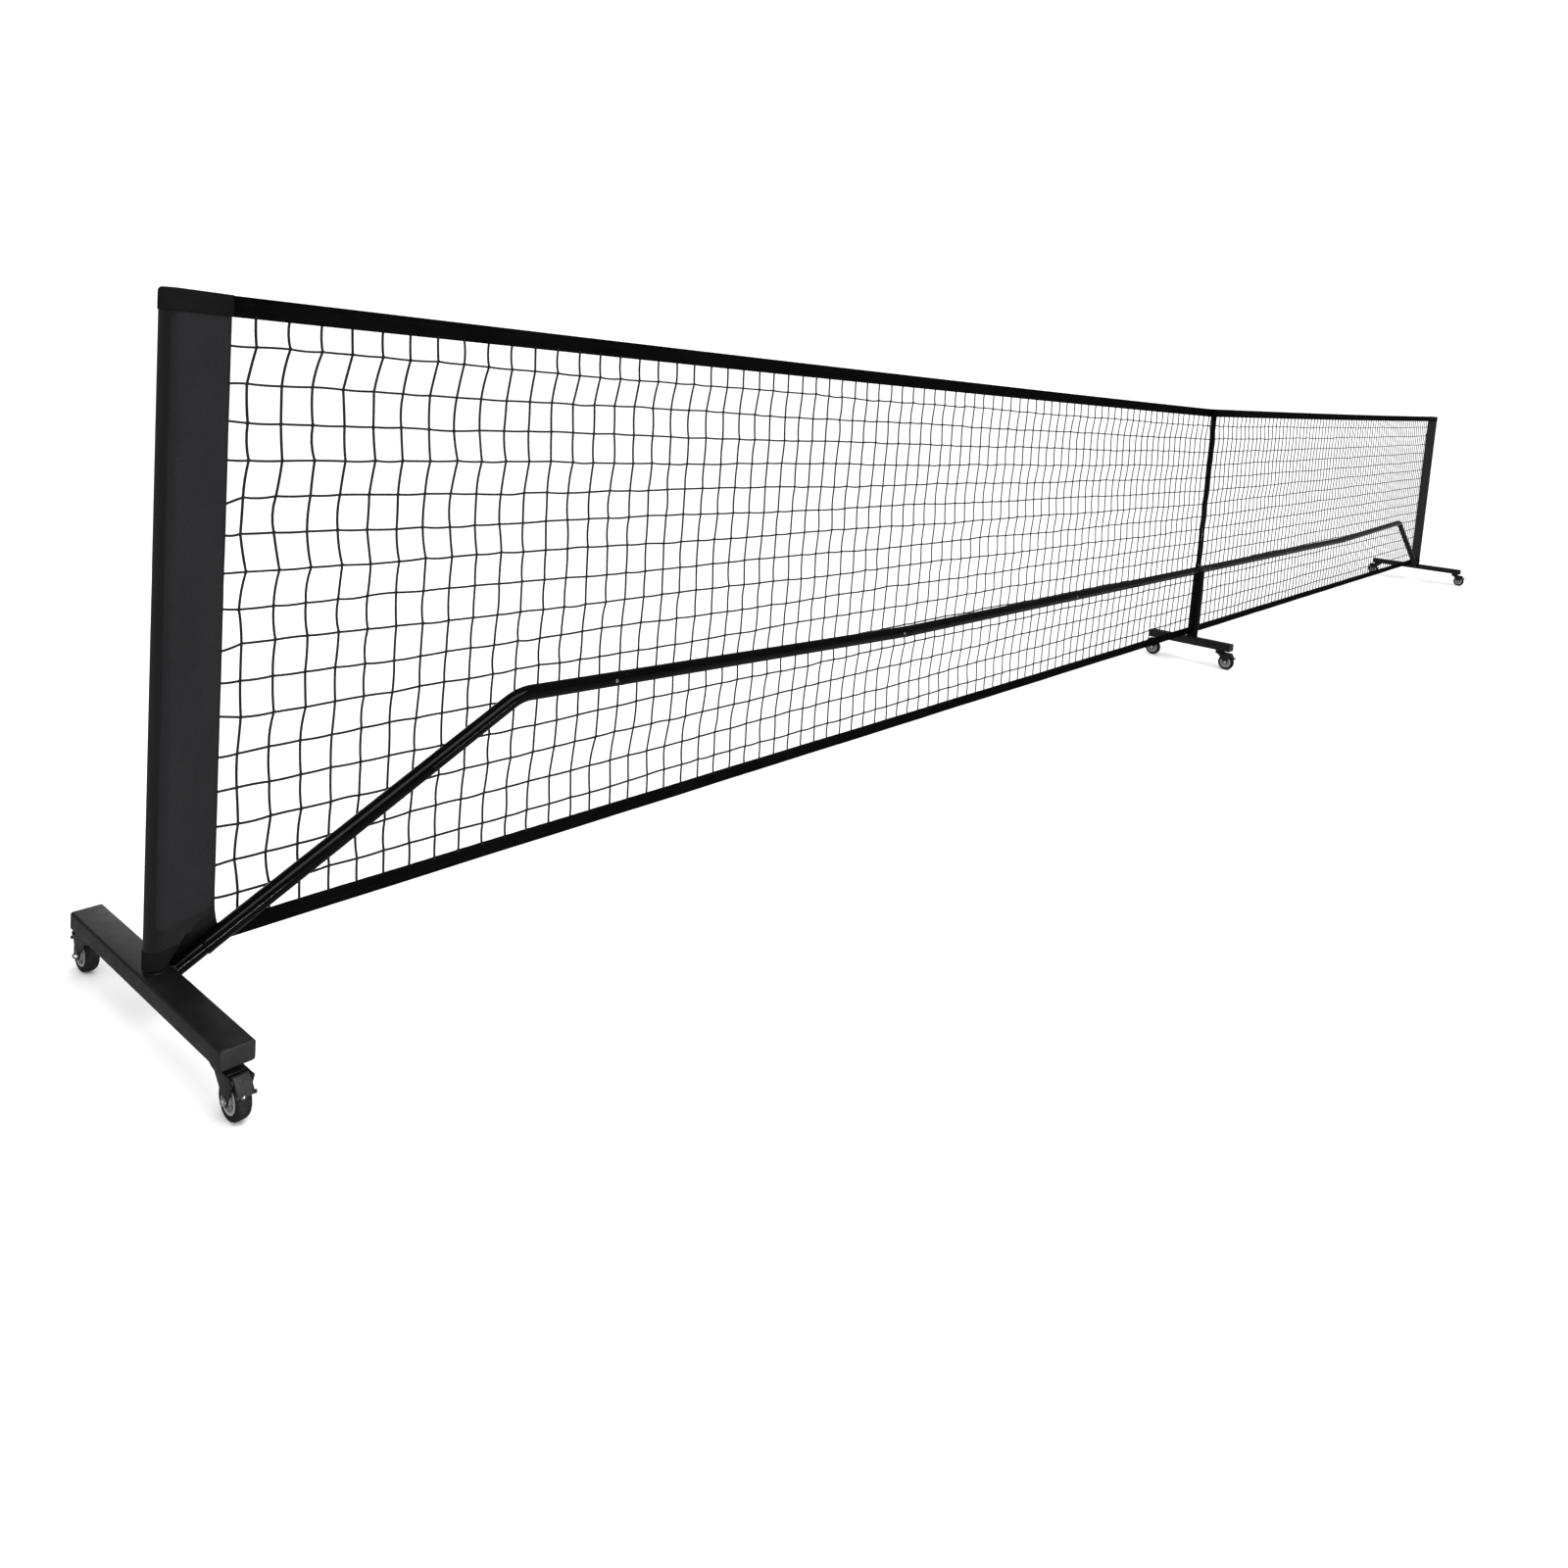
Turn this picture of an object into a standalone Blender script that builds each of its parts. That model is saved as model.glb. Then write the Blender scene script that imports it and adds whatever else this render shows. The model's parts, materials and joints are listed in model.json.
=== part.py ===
"""Portable pickleball net: a push-fit steel frame on six braked swivel casters, with the net behind it.

Units are metres. X runs along the net, -Y is the front, Z is up. The origin is on the ground under the
middle of the net. A station is a distance from the axis of an end post towards the middle of the net, so
one set of stations describes both halves: side is -1 for the left half and +1 for the right half.
"""

import math

import bmesh
import bpy
from mathutils import Matrix, Vector

GAP = 0.0003  # running gap left between pieces that touch

# Net
HALF_SPAN = 3.353  # end post axis to the middle: 22 ft between the posts
NET_TOP_END = 0.914  # 36 in at the posts
NET_TOP_MIDDLE = 0.864  # 34 in at the middle
NET_TOP_SAG = 0.003  # extra dip of the top edge halfway along each half
NET_BOTTOM = 0.091
TOP_TAPE_HEIGHT = 0.026
BOTTOM_TAPE_HEIGHT = 0.0235
TAPE_THICKNESS = 0.003
NETTING_THICKNESS = 0.002
NET_Y = 0.0148  # middle plane of the net, just behind the tubes
SLEEVE_LENGTH = 0.0763  # post axis to the inner edge of the side sleeve
SLEEVE_THICKNESS = 0.0016
SLEEVE_DRAPE_Z = 0.124  # below this the front layer lies back behind the tubes
POCKET_WING = 0.025

# Feet
FOOT_WIDTH = 0.040
FOOT_HEIGHT = 0.024
FOOT_BOTTOM = 0.0625
FOOT_TOP = FOOT_BOTTOM + FOOT_HEIGHT
FOOT_WALL = 0.0015
END_FOOT_LENGTH = 0.440
MIDDLE_FOOT_LENGTH = 0.280
END_KINGPIN_Y = 0.195
MIDDLE_KINGPIN_Y = 0.105
SADDLE_HALF_LENGTH = 0.030  # thin saddle plate under a post; outside it the top of the foot is clear
SADDLE_RISE = 0.0002

# Posts
END_POST_RADIUS = 0.0125
END_POST_WALL = 0.0015
END_POST_TOP = 0.905
SPIGOT_HEIGHT = 0.080
UPPER_POST_RADIUS = 0.008
UPPER_POST_WALL = 0.0012
UPPER_POST_TOP = 0.860
UPPER_SPIGOT_HEIGHT = 0.040
LOWER_POST_DEPTH = 0.034  # flat oval, front to back
LOWER_POST_WIDTH = 0.022
LOWER_POST_Y = -0.0055
LOWER_POST_WALL = 0.0015
LOWER_SPIGOT_HEIGHT = 0.060

# Arch
TUBE_RADIUS = 0.0123
TUBE_WALL = 0.0012
PLUG_RADIUS = 0.0107
PLUG_LENGTH = 0.060
NECK_LENGTH = 0.0015
DIAGONAL_DEG = 27.7
STUB_START = 0.0145
STUB_RADIUS = 0.0111
COLLAR_STATION = 0.057
BEND_STATION = 0.530
BEND_Z = 0.3453
BEND_RADIUS = 0.080
BEND_STEPS = 6
CROWN_Z = 0.316
TEE_STATION = HALF_SPAN - 0.055
STRAIGHT_TUBES = 3
FIRST_JOINT = 0.743
JOINT_PITCH = (TEE_STATION - FIRST_JOINT) / STRAIGHT_TUBES
JOINTS = [FIRST_JOINT + JOINT_PITCH * i for i in range(STRAIGHT_TUBES + 1)]

# Snap buttons, one at each arch joint
BUTTON_RADIUS = 0.0035
BUTTON_SETBACK = 0.025  # joint mouth to button axis
BUTTON_PROUD = 0.0025
LEAF_LENGTH = 0.026
LEAF_WIDTH = 0.006
LEAF_THICKNESS = 0.0008
LEAF_Y = -0.0078

# Casters, in a frame on the kingpin axis at ground level, trailing towards -Y
WHEEL_RADIUS = 0.025
WHEEL_HALF_WIDTH = 0.0088
HUB_RADIUS = 0.0168
TRAIL = 0.022
AXLE_RADIUS = 0.0029
LEG_INSIDE = 0.0105
LEG_THICKNESS = 0.002
CROWN_TOP = 0.0557
CROWN_THICKNESS = 0.004
KINGPIN_RADIUS = 0.003
STUD_RADIUS = 0.004
PEDAL_PIVOT_OUT = 0.0345
PEDAL_PIVOT_Z = 0.0515
PEDAL_HALF_WIDTH = 0.0095
PIN_RADIUS = 0.0019


# ---------------------------------------------------------------- scene and materials


def clear_scene():
    for obj in list(bpy.data.objects):
        bpy.data.objects.remove(obj, do_unlink=True)


def make_material(name, color, roughness, metallic=0.0):
    material = bpy.data.materials.new(name)
    material.use_nodes = True
    shader = material.node_tree.nodes["Principled BSDF"]
    shader.inputs["Base Color"].default_value = (*color, 1.0)
    shader.inputs["Roughness"].default_value = roughness
    shader.inputs["Metallic"].default_value = metallic
    return material


def make_materials():
    return {
        "foot_paint": make_material("foot_paint", (0.030, 0.030, 0.032), 0.45),
        "tube_paint": make_material("tube_paint", (0.006, 0.006, 0.007), 0.16),
        "sleeve_fabric": make_material("sleeve_fabric", (0.026, 0.026, 0.029), 0.9),
        "tape_fabric": make_material("tape_fabric", (0.008, 0.008, 0.009), 0.85),
        "net_cord": make_material("net_cord", (0.035, 0.035, 0.037), 0.9),
        "caster_steel": make_material("caster_steel", (0.020, 0.020, 0.021), 0.4),
        "pedal_plastic": make_material("pedal_plastic", (0.040, 0.040, 0.041), 0.5),
        "hub_plastic": make_material("hub_plastic", (0.240, 0.240, 0.245), 0.45),
        "tyre_rubber": make_material("tyre_rubber", (0.020, 0.020, 0.021), 0.7),
        "button_steel": make_material("button_steel", (0.550, 0.550, 0.560), 0.3, 1.0),
    }


def place(name, mesh, material, collection, location=(0, 0, 0), turn_z=0.0):
    """One named sub-part. Copies of a repeated piece share the mesh."""
    if not mesh.materials:
        mesh.materials.append(material)
    obj = bpy.data.objects.new(name, mesh)
    obj.location = location
    obj.rotation_euler.z = turn_z
    collection.objects.link(obj)
    return obj


# ---------------------------------------------------------------- shapes


def tidied(mesh, matrix=None):
    """Moves a mesh, welds its seams and turns its faces outwards."""
    shape = bmesh.new()
    shape.from_mesh(mesh)
    bmesh.ops.remove_doubles(shape, verts=shape.verts, dist=1e-6)
    if matrix is not None:
        bmesh.ops.transform(shape, matrix=matrix, verts=shape.verts)
    bmesh.ops.recalc_face_normals(shape, faces=shape.faces)
    shape.to_mesh(mesh)
    shape.free()
    return mesh


def evaluated_mesh(obj):
    """The mesh that an object's curve settings or modifiers make. The object is removed."""
    graph = bpy.context.evaluated_depsgraph_get()
    mesh = bpy.data.meshes.new_from_object(obj.evaluated_get(graph))
    bpy.data.objects.remove(obj, do_unlink=True)
    return mesh


def helper(data):
    obj = bpy.data.objects.new("helper", data)
    bpy.context.scene.collection.objects.link(obj)
    return obj


def combined(meshes, cuts=()):
    """Boolean union of the meshes, less the cuts."""
    base = helper(tidied(meshes[0]))
    operands = []
    for operation, group in (("UNION", meshes[1:]), ("DIFFERENCE", cuts)):
        for mesh in group:
            operand = helper(tidied(mesh))
            operands.append(operand)
            modifier = base.modifiers.new(operation.lower(), "BOOLEAN")
            modifier.operation = operation
            modifier.object = operand
    result = evaluated_mesh(base)
    for operand in operands:
        bpy.data.objects.remove(operand, do_unlink=True)
    return smoothed(tidied(result))


def smoothed(mesh):
    mesh.shade_smooth()
    mesh.set_sharp_from_angle(angle=math.radians(35))
    return mesh


def box(low, high, rounding=0.0, segments=1):
    low, high = Vector(low), Vector(high)
    shape = bmesh.new()
    bmesh.ops.create_cube(shape, size=1.0)
    bmesh.ops.scale(shape, vec=high - low, verts=shape.verts)
    bmesh.ops.translate(shape, vec=(low + high) / 2, verts=shape.verts)
    if rounding:
        bmesh.ops.bevel(
            shape, geom=shape.edges[:], offset=rounding, segments=segments, profile=0.5, affect="EDGES"
        )
    mesh = bpy.data.meshes.new("box")
    shape.to_mesh(mesh)
    shape.free()
    return mesh


def rod(start, end, radius, sides=16, end_radius=None, capped=True, nose=0.0):
    """A cylinder or cone between two points. The rim at its end can be rounded."""
    start, end = Vector(start), Vector(end)
    shape = bmesh.new()
    bmesh.ops.create_cone(
        shape,
        cap_ends=capped,
        segments=sides,
        radius1=radius,
        radius2=radius if end_radius is None else end_radius,
        depth=(end - start).length,
    )
    if nose:
        rim = [edge for edge in shape.edges if all(vert.co.z > 0 for vert in edge.verts)]
        bmesh.ops.bevel(shape, geom=rim, offset=nose, segments=2, profile=0.5, affect="EDGES")
    turn = (end - start).to_track_quat("Z", "Y").to_matrix().to_4x4()
    bmesh.ops.transform(shape, matrix=Matrix.Translation((start + end) / 2) @ turn, verts=shape.verts)
    mesh = bpy.data.meshes.new("rod")
    shape.to_mesh(mesh)
    shape.free()
    return mesh


def upright_pipe(bottom, top, radius, wall, sides=16):
    """An open pipe along Z."""
    pipe = helper(tidied(rod((0, 0, bottom), (0, 0, top), radius, sides, capped=False)))
    modifier = pipe.modifiers.new("wall", "SOLIDIFY")
    modifier.thickness = wall
    modifier.offset = -1.0
    modifier.use_even_offset = True
    return smoothed(tidied(evaluated_mesh(pipe)))


def swept(points, radii, wall=None):
    """A round tube along points: open with a wall, or solid without one."""
    curve = bpy.data.curves.new("path", "CURVE")
    curve.dimensions = "3D"
    curve.twist_mode = "Z_UP"
    curve.bevel_depth = TUBE_RADIUS
    curve.bevel_resolution = 4
    curve.use_fill_caps = wall is None
    spline = curve.splines.new("POLY")
    spline.points.add(len(points) - 1)
    for spline_point, point, radius in zip(spline.points, points, radii):
        spline_point.co = (*point, 1.0)
        spline_point.radius = radius / TUBE_RADIUS
    skin = helper(tidied(evaluated_mesh(helper(curve))))
    if wall is not None:
        modifier = skin.modifiers.new("wall", "SOLIDIFY")
        modifier.thickness = wall
        modifier.offset = -1.0
        modifier.use_even_offset = True
    return smoothed(tidied(evaluated_mesh(skin)))


def plate(outlines, low, high):
    """Closed outlines in XY, filled and extruded from low to high in Z. An inner outline is a hole."""
    curve = bpy.data.curves.new("outline", "CURVE")
    curve.dimensions = "2D"
    curve.fill_mode = "BOTH"
    curve.extrude = (high - low) / 2
    for outline in outlines:
        spline = curve.splines.new("POLY")
        spline.points.add(len(outline) - 1)
        for spline_point, (x, y) in zip(spline.points, outline):
            spline_point.co = (x, y, 0.0, 1.0)
        spline.use_cyclic_u = True
    mesh = evaluated_mesh(helper(curve))
    return tidied(mesh, Matrix.Translation((0, 0, (low + high) / 2)))


def standing(mesh):
    """Turns a plate's outline from the XY plane up into XZ. Its low side in Z becomes its back in Y."""
    return tidied(mesh, Matrix.Rotation(math.radians(90), 4, "X"))


def turned(profile, steps):
    """A closed (radius, z) profile turned about Z with a Screw modifier."""
    mesh = bpy.data.meshes.new("profile")
    count = len(profile)
    mesh.from_pydata([(r, 0, z) for r, z in profile], [(i, (i + 1) % count) for i in range(count)], [])
    ring = helper(mesh)
    modifier = ring.modifiers.new("turn", "SCREW")
    modifier.steps = steps
    modifier.render_steps = steps
    modifier.use_merge_vertices = True
    modifier.merge_threshold = 0.00001
    return smoothed(tidied(evaluated_mesh(ring)))


def arc(center, radius, start_deg, end_deg, steps):
    angles = [math.radians(start_deg + (end_deg - start_deg) * i / steps) for i in range(steps + 1)]
    return [(center[0] + radius * math.cos(a), center[1] + radius * math.sin(a)) for a in angles]


def flat_oval(width, depth, center_y, inset=0.0, steps=7):
    """Outline with two straight sides along Y and two round noses."""
    radius = width / 2 - inset
    reach = (depth - width) / 2
    back = arc((0, center_y + reach), radius, 0, 180, steps)
    front = arc((0, center_y - reach), radius, 180, 360, steps)
    return back + front


def at(side, station, y, z):
    """World point of a station on one half of the net."""
    return Vector((side * (HALF_SPAN - station), y, z))


def net_top(x):
    share = 1 - abs(x) / HALF_SPAN
    fall = (NET_TOP_END - NET_TOP_MIDDLE) * share
    return NET_TOP_END - fall - 4 * NET_TOP_SAG * share * (1 - share)


# ---------------------------------------------------------------- frame


def diagonal_z(station):
    return BEND_Z + (station - BEND_STATION) * math.tan(math.radians(DIAGONAL_DEG))


def arch_z(station):
    """Height of the arch's axis inwards of the bend: it falls to the second joint, then runs level."""
    fall = (BEND_Z - CROWN_Z) / (JOINTS[1] - BEND_STATION)
    return max(BEND_Z - fall * (station - BEND_STATION), CROWN_Z)


def button_cutter(side, station):
    z = arch_z(station)
    outside = TUBE_RADIUS + 0.004
    return rod(at(side, station, -outside, z), at(side, station, -0.006, z), BUTTON_RADIUS + GAP, 12)


def foot_mesh(length, kingpin_y, additions, extra_cuts=()):
    """A closed rectangular tube with stud holes underneath, a thin saddle and what is welded to its top."""
    half = FOOT_WIDTH / 2
    outside = box((-half, -length / 2, FOOT_BOTTOM), (half, length / 2, FOOT_TOP), 0.0018)
    inside = box(
        (-half + FOOT_WALL, -length / 2 + FOOT_WALL, FOOT_BOTTOM + FOOT_WALL),
        (half - FOOT_WALL, length / 2 - FOOT_WALL, FOOT_TOP - FOOT_WALL),
    )
    holes = []
    for y in (-kingpin_y, kingpin_y):
        holes.append(rod((0, y, FOOT_BOTTOM - 0.002), (0, y, FOOT_BOTTOM + 0.004), STUD_RADIUS + GAP, 12))
    shell = combined([outside], [inside] + holes)
    saddle = box(
        (-half + 0.003, -SADDLE_HALF_LENGTH, FOOT_TOP - 0.0007),
        (half - 0.003, SADDLE_HALF_LENGTH, FOOT_TOP + SADDLE_RISE),
    )
    return combined([shell, saddle] + additions, extra_cuts)


def end_base_mesh(side):
    """End foot with the spigot for the post and the plug stub for the arch, in the post's own frame."""
    spigot_radius = END_POST_RADIUS - END_POST_WALL / math.cos(math.pi / 16) - GAP
    spigot = rod((0, 0, FOOT_TOP - 0.0007), (0, 0, FOOT_TOP + SPIGOT_HEIGHT), spigot_radius)
    spigot_bore = rod((0, 0, FOOT_TOP + 0.001), (0, 0, FOOT_TOP + SPIGOT_HEIGHT + 0.01), spigot_radius - 0.0015)

    def on_axis(station):
        return Vector((-side * station, 0, diagonal_z(station)))

    step = math.cos(math.radians(DIAGONAL_DEG))
    stations = [
        STUB_START,
        COLLAR_STATION - (GAP + NECK_LENGTH) * step,
        COLLAR_STATION - GAP * step,
        COLLAR_STATION + PLUG_LENGTH * step,
    ]
    radii = [STUB_RADIUS, STUB_RADIUS, PLUG_RADIUS, PLUG_RADIUS]
    stub = swept([on_axis(station) for station in stations], radii)
    bore_start = on_axis(STUB_START + 0.022)
    bore_end = on_axis(stations[-1] + 0.01)
    stub_bore = rod(bore_start, bore_end, PLUG_RADIUS - TUBE_WALL)
    return foot_mesh(END_FOOT_LENGTH, END_KINGPIN_Y, [spigot, stub], [spigot_bore, stub_bore])


def middle_base_mesh():
    inset = LOWER_POST_WALL + GAP
    outline = flat_oval(LOWER_POST_WIDTH, LOWER_POST_DEPTH, LOWER_POST_Y, inset)
    spigot = plate([outline], FOOT_TOP - 0.0007, FOOT_TOP + LOWER_SPIGOT_HEIGHT)
    return foot_mesh(MIDDLE_FOOT_LENGTH, MIDDLE_KINGPIN_Y, [spigot])


def elbow_mesh(side):
    """Tube from the collar over the stub, round the bend, to the first joint. Open at both ends."""
    slope_in = math.radians(DIAGONAL_DEG)
    slope_out = math.atan2(arch_z(JOINTS[0]) - BEND_Z, JOINTS[0] - BEND_STATION)
    half_turn = (slope_in - slope_out) / 2
    tangent = BEND_RADIUS * math.tan(half_turn)
    start = Vector((BEND_STATION - tangent * math.cos(slope_in), BEND_Z - tangent * math.sin(slope_in)))
    center = start + BEND_RADIUS * Vector((math.sin(slope_in), -math.cos(slope_in)))
    route = [(COLLAR_STATION, diagonal_z(COLLAR_STATION))]
    top_deg = 90 + math.degrees(slope_in)
    end_deg = 90 + math.degrees(slope_out)
    route += arc(center, BEND_RADIUS, top_deg, end_deg, BEND_STEPS)
    route.append((JOINTS[0], arch_z(JOINTS[0])))
    points = [at(side, station, 0, z) for station, z in route]
    tube = swept(points, [TUBE_RADIUS] * len(points), TUBE_WALL)
    return combined([tube], [button_cutter(side, JOINTS[0] - BUTTON_SETBACK)])


def straight_tube_mesh(side, index):
    """A tube with a necked plug at its outer end and a socket at its inner end."""
    mouth, end = JOINTS[index], JOINTS[index + 1]
    tip = mouth - PLUG_LENGTH
    stations = [tip, mouth + GAP, mouth + GAP + NECK_LENGTH, end]
    points = [at(side, station, 0, arch_z(station)) for station in stations]
    tube = swept(points, [PLUG_RADIUS, PLUG_RADIUS, TUBE_RADIUS, TUBE_RADIUS], TUBE_WALL)
    cutters = [button_cutter(side, joint - BUTTON_SETBACK) for joint in (mouth, end)]
    return combined([tube], cutters)


def middle_lower_post_mesh():
    """Flat-oval post with the tee that both halves of the arch and the upper post plug into."""
    post = plate(
        [
            flat_oval(LOWER_POST_WIDTH, LOWER_POST_DEPTH, LOWER_POST_Y),
            flat_oval(LOWER_POST_WIDTH, LOWER_POST_DEPTH, LOWER_POST_Y, LOWER_POST_WALL),
        ],
        FOOT_TOP + GAP,
        CROWN_Z,
    )
    shoulder = HALF_SPAN - TEE_STATION
    tip = shoulder + PLUG_LENGTH
    xs = [-tip, -shoulder + GAP, -shoulder + GAP + NECK_LENGTH]
    xs += [-x for x in reversed(xs)]
    radii = [PLUG_RADIUS, PLUG_RADIUS, TUBE_RADIUS] + [TUBE_RADIUS, PLUG_RADIUS, PLUG_RADIUS]
    run = swept([Vector((x, 0, CROWN_Z)) for x in xs], radii)
    spigot_radius = UPPER_POST_RADIUS - UPPER_POST_WALL / math.cos(math.pi / 16) - GAP
    spigot = rod((0, 0, CROWN_Z), (0, 0, CROWN_Z + TUBE_RADIUS + UPPER_SPIGOT_HEIGHT), spigot_radius)
    bore = rod((-tip - 0.01, 0, CROWN_Z), (tip + 0.01, 0, CROWN_Z), PLUG_RADIUS - TUBE_WALL)
    button_holes = [button_cutter(side, TEE_STATION - BUTTON_SETBACK) for side in (-1, 1)]
    return combined([post, run, spigot], [bore] + button_holes)


def snap_button_mesh():
    """Pin with its spring leaf, on the tube's axis with the pin towards -Y."""
    half_leaf = LEAF_THICKNESS / 2
    leaf = box(
        (-LEAF_LENGTH / 2, LEAF_Y - half_leaf, -LEAF_WIDTH / 2),
        (LEAF_LENGTH / 2, LEAF_Y + half_leaf, LEAF_WIDTH / 2),
    )
    pin = rod((0, LEAF_Y, 0), (0, -TUBE_RADIUS - BUTTON_PROUD, 0), BUTTON_RADIUS, 12, nose=0.0012)
    return combined([leaf, pin])


# ---------------------------------------------------------------- net


def sleeve_outline(side, inset):
    """Section of the sleeve in the post's own frame: round the post, then two layers that meet at the net."""
    radius = NET_Y + SLEEVE_THICKNESS / 2
    front = NET_Y - SLEEVE_THICKNESS / 2
    # the front layer runs straight from where it leaves the post to the sleeve's inner edge
    slope = math.atan2(front, SLEEVE_LENGTH) + math.asin(radius / math.hypot(SLEEVE_LENGTH, front))
    radius -= inset
    outline = arc((0, 0), radius, 90, 270 + math.degrees(slope), 18)
    if inset:
        outline.append((radius * (1 + math.cos(slope)) / math.sin(slope), radius))
    else:
        outline += [(SLEEVE_LENGTH, front), (SLEEVE_LENGTH, radius)]
    return [(-side * x, y) for x, y in outline]


def sleeve_mesh(side):
    """Side sleeve in the post's own frame. Its foot lies flat behind the tubes."""
    inside_top = END_POST_TOP + 0.003
    upper = plate([sleeve_outline(side, 0.0)], SLEEVE_DRAPE_Z, NET_TOP_END)
    hollow = plate([sleeve_outline(side, SLEEVE_THICKNESS)], SLEEVE_DRAPE_Z - 0.01, inside_top)
    back = NET_Y + SLEEVE_THICKNESS / 2
    front = NET_Y - SLEEVE_THICKNESS / 2
    meet_deg = math.degrees(math.asin(front / back))
    outline = arc((0, 0), back, 90, 360 + meet_deg, 20)
    outline += [(SLEEVE_LENGTH, front), (SLEEVE_LENGTH, back)]
    outline = [(-side * x, y) for x, y in outline]
    lower = plate([outline], NET_BOTTOM, SLEEVE_DRAPE_Z + 0.0005)
    pocket = rod((0, 0, NET_BOTTOM - 0.01), (0, 0, inside_top), END_POST_RADIUS + 0.0003, 24)
    return combined([combined([upper], [hollow]), lower], [pocket])


def strip_mesh(bottom_of, top_of, half_length, thickness, pieces):
    """An upright strip along the net between two height functions."""
    xs = [half_length * (2 * i / pieces - 1) for i in range(pieces + 1)]
    outline = [(x, bottom_of(x)) for x in xs] + [(x, top_of(x)) for x in reversed(xs)]
    return standing(plate([outline], -NET_Y - thickness / 2, -NET_Y + thickness / 2))


def middle_pocket_mesh():
    """Small fabric pocket on the front of the top tape, closed over the upper post."""
    back = NET_Y - TAPE_THICKNESS / 2 - GAP
    low, high = net_top(0) - TOP_TAPE_HEIGHT, net_top(0)
    wings = box((-POCKET_WING, back - 0.0022, low), (POCKET_WING, back, high))
    outside = UPPER_POST_RADIUS + 0.0017
    ring = rod((0, 0, low), (0, 0, high), outside, 24)
    neck = box((-outside + 0.001, 0, low), (outside - 0.001, back - 0.001, high))
    pocket = rod((0, 0, low - 0.01), (0, 0, UPPER_POST_TOP + GAP), UPPER_POST_RADIUS + GAP, 24)
    return combined([wings, ring, neck], [pocket])


# ---------------------------------------------------------------- casters


def caster_plate_mesh():
    """Top plate with its race, the kingpin riveted under it and the stud and nut in the foot."""
    top = FOOT_BOTTOM - GAP
    bottom = top - 0.002
    race_bottom = CROWN_TOP + GAP
    crown_bottom = CROWN_TOP - CROWN_THICKNESS
    disc = rod((0, 0, bottom), (0, 0, top), 0.0185, 20)
    race = rod((0, 0, race_bottom), (0, 0, bottom + 0.0005), 0.0125, 16, 0.0155)
    kingpin = rod((0, 0, crown_bottom - 0.0014), (0, 0, race_bottom + 0.001), KINGPIN_RADIUS, 12)
    rivet = rod((0, 0, crown_bottom - 0.0028), (0, 0, crown_bottom - GAP), 0.0034, 12, 0.0052)
    stud = rod((0, 0, top - 0.0005), (0, 0, top + 0.0125), STUD_RADIUS, 12)
    nut_bottom = FOOT_BOTTOM + FOOT_WALL + GAP
    nut = rod((0, 0, nut_bottom), (0, 0, nut_bottom + 0.005), 0.0072, 6)
    return combined([disc, race, kingpin, rivet, stud, nut])


def leg_outline():
    """Side view of a fork leg as (distance out, z): wide at the crown, an ear for the pedal, round at the axle."""
    crown = [(-0.0030, 0.0492), (-0.0135, 0.0512), (-0.0135, CROWN_TOP), (0.0240, CROWN_TOP)]
    ear = [(0.0350, 0.0553), (0.0385, 0.0527), (0.0382, 0.0478)]
    axle = arc((TRAIL, WHEEL_RADIUS), 0.0068, 20, -205, 8)
    return crown + ear + axle


def fork_mesh():
    """Pressed fork with the axle, its bolt head and nut."""
    legs = []
    for direction in (-1, 1):
        low = LEG_INSIDE if direction > 0 else -LEG_INSIDE - LEG_THICKNESS
        flat = plate([leg_outline()], low, low + LEG_THICKNESS)
        # (distance out, z, x) becomes (x, -distance out, z)
        turn = Matrix(((0, 0, 1, 0), (-1, 0, 0, 0), (0, 1, 0, 0), (0, 0, 0, 1)))
        legs.append(tidied(flat, turn))
    outside = LEG_INSIDE + LEG_THICKNESS
    crown = box(
        (-outside + 0.0002, -0.0240, CROWN_TOP - CROWN_THICKNESS), (outside - 0.0002, 0.0133, CROWN_TOP - 0.0002)
    )
    axle = rod((-outside - 0.001, -TRAIL, WHEEL_RADIUS), (outside + 0.001, -TRAIL, WHEEL_RADIUS), AXLE_RADIUS, 12)
    head = rod(
        (-outside - 0.0028, -TRAIL, WHEEL_RADIUS), (-outside + 0.0005, -TRAIL, WHEEL_RADIUS), 0.0052, 6
    )
    nut = rod((outside - 0.0005, -TRAIL, WHEEL_RADIUS), (outside + 0.0028, -TRAIL, WHEEL_RADIUS), 0.0052, 6)
    kingpin_hole = rod((0, 0, 0.045), (0, 0, 0.065), KINGPIN_RADIUS + GAP, 12)
    reach = outside + 0.002
    pivot = (-PEDAL_PIVOT_OUT, PEDAL_PIVOT_Z)
    pivot_hole = rod((-reach, *pivot), (reach, *pivot), PIN_RADIUS + GAP, 10)
    return combined([crown] + legs + [axle, head, nut], [kingpin_hole, pivot_hole])


def hub_mesh():
    """Wheel core about its own axis: bore, boss, thin web and rim."""
    bore = AXLE_RADIUS + GAP
    boss, boss_face = 0.0062, LEG_INSIDE - GAP
    web, rim_inside, rim_face = 0.0030, 0.0135, 0.0080
    half = [(bore, boss_face), (boss, boss_face), (boss, web), (rim_inside, web)]
    half += [(rim_inside, rim_face), (HUB_RADIUS, rim_face)]
    profile = half + [(radius, -z) for radius, z in reversed(half)]
    return tidied(turned(profile, 16), Matrix.Rotation(math.radians(90), 4, "Y"))


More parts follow.
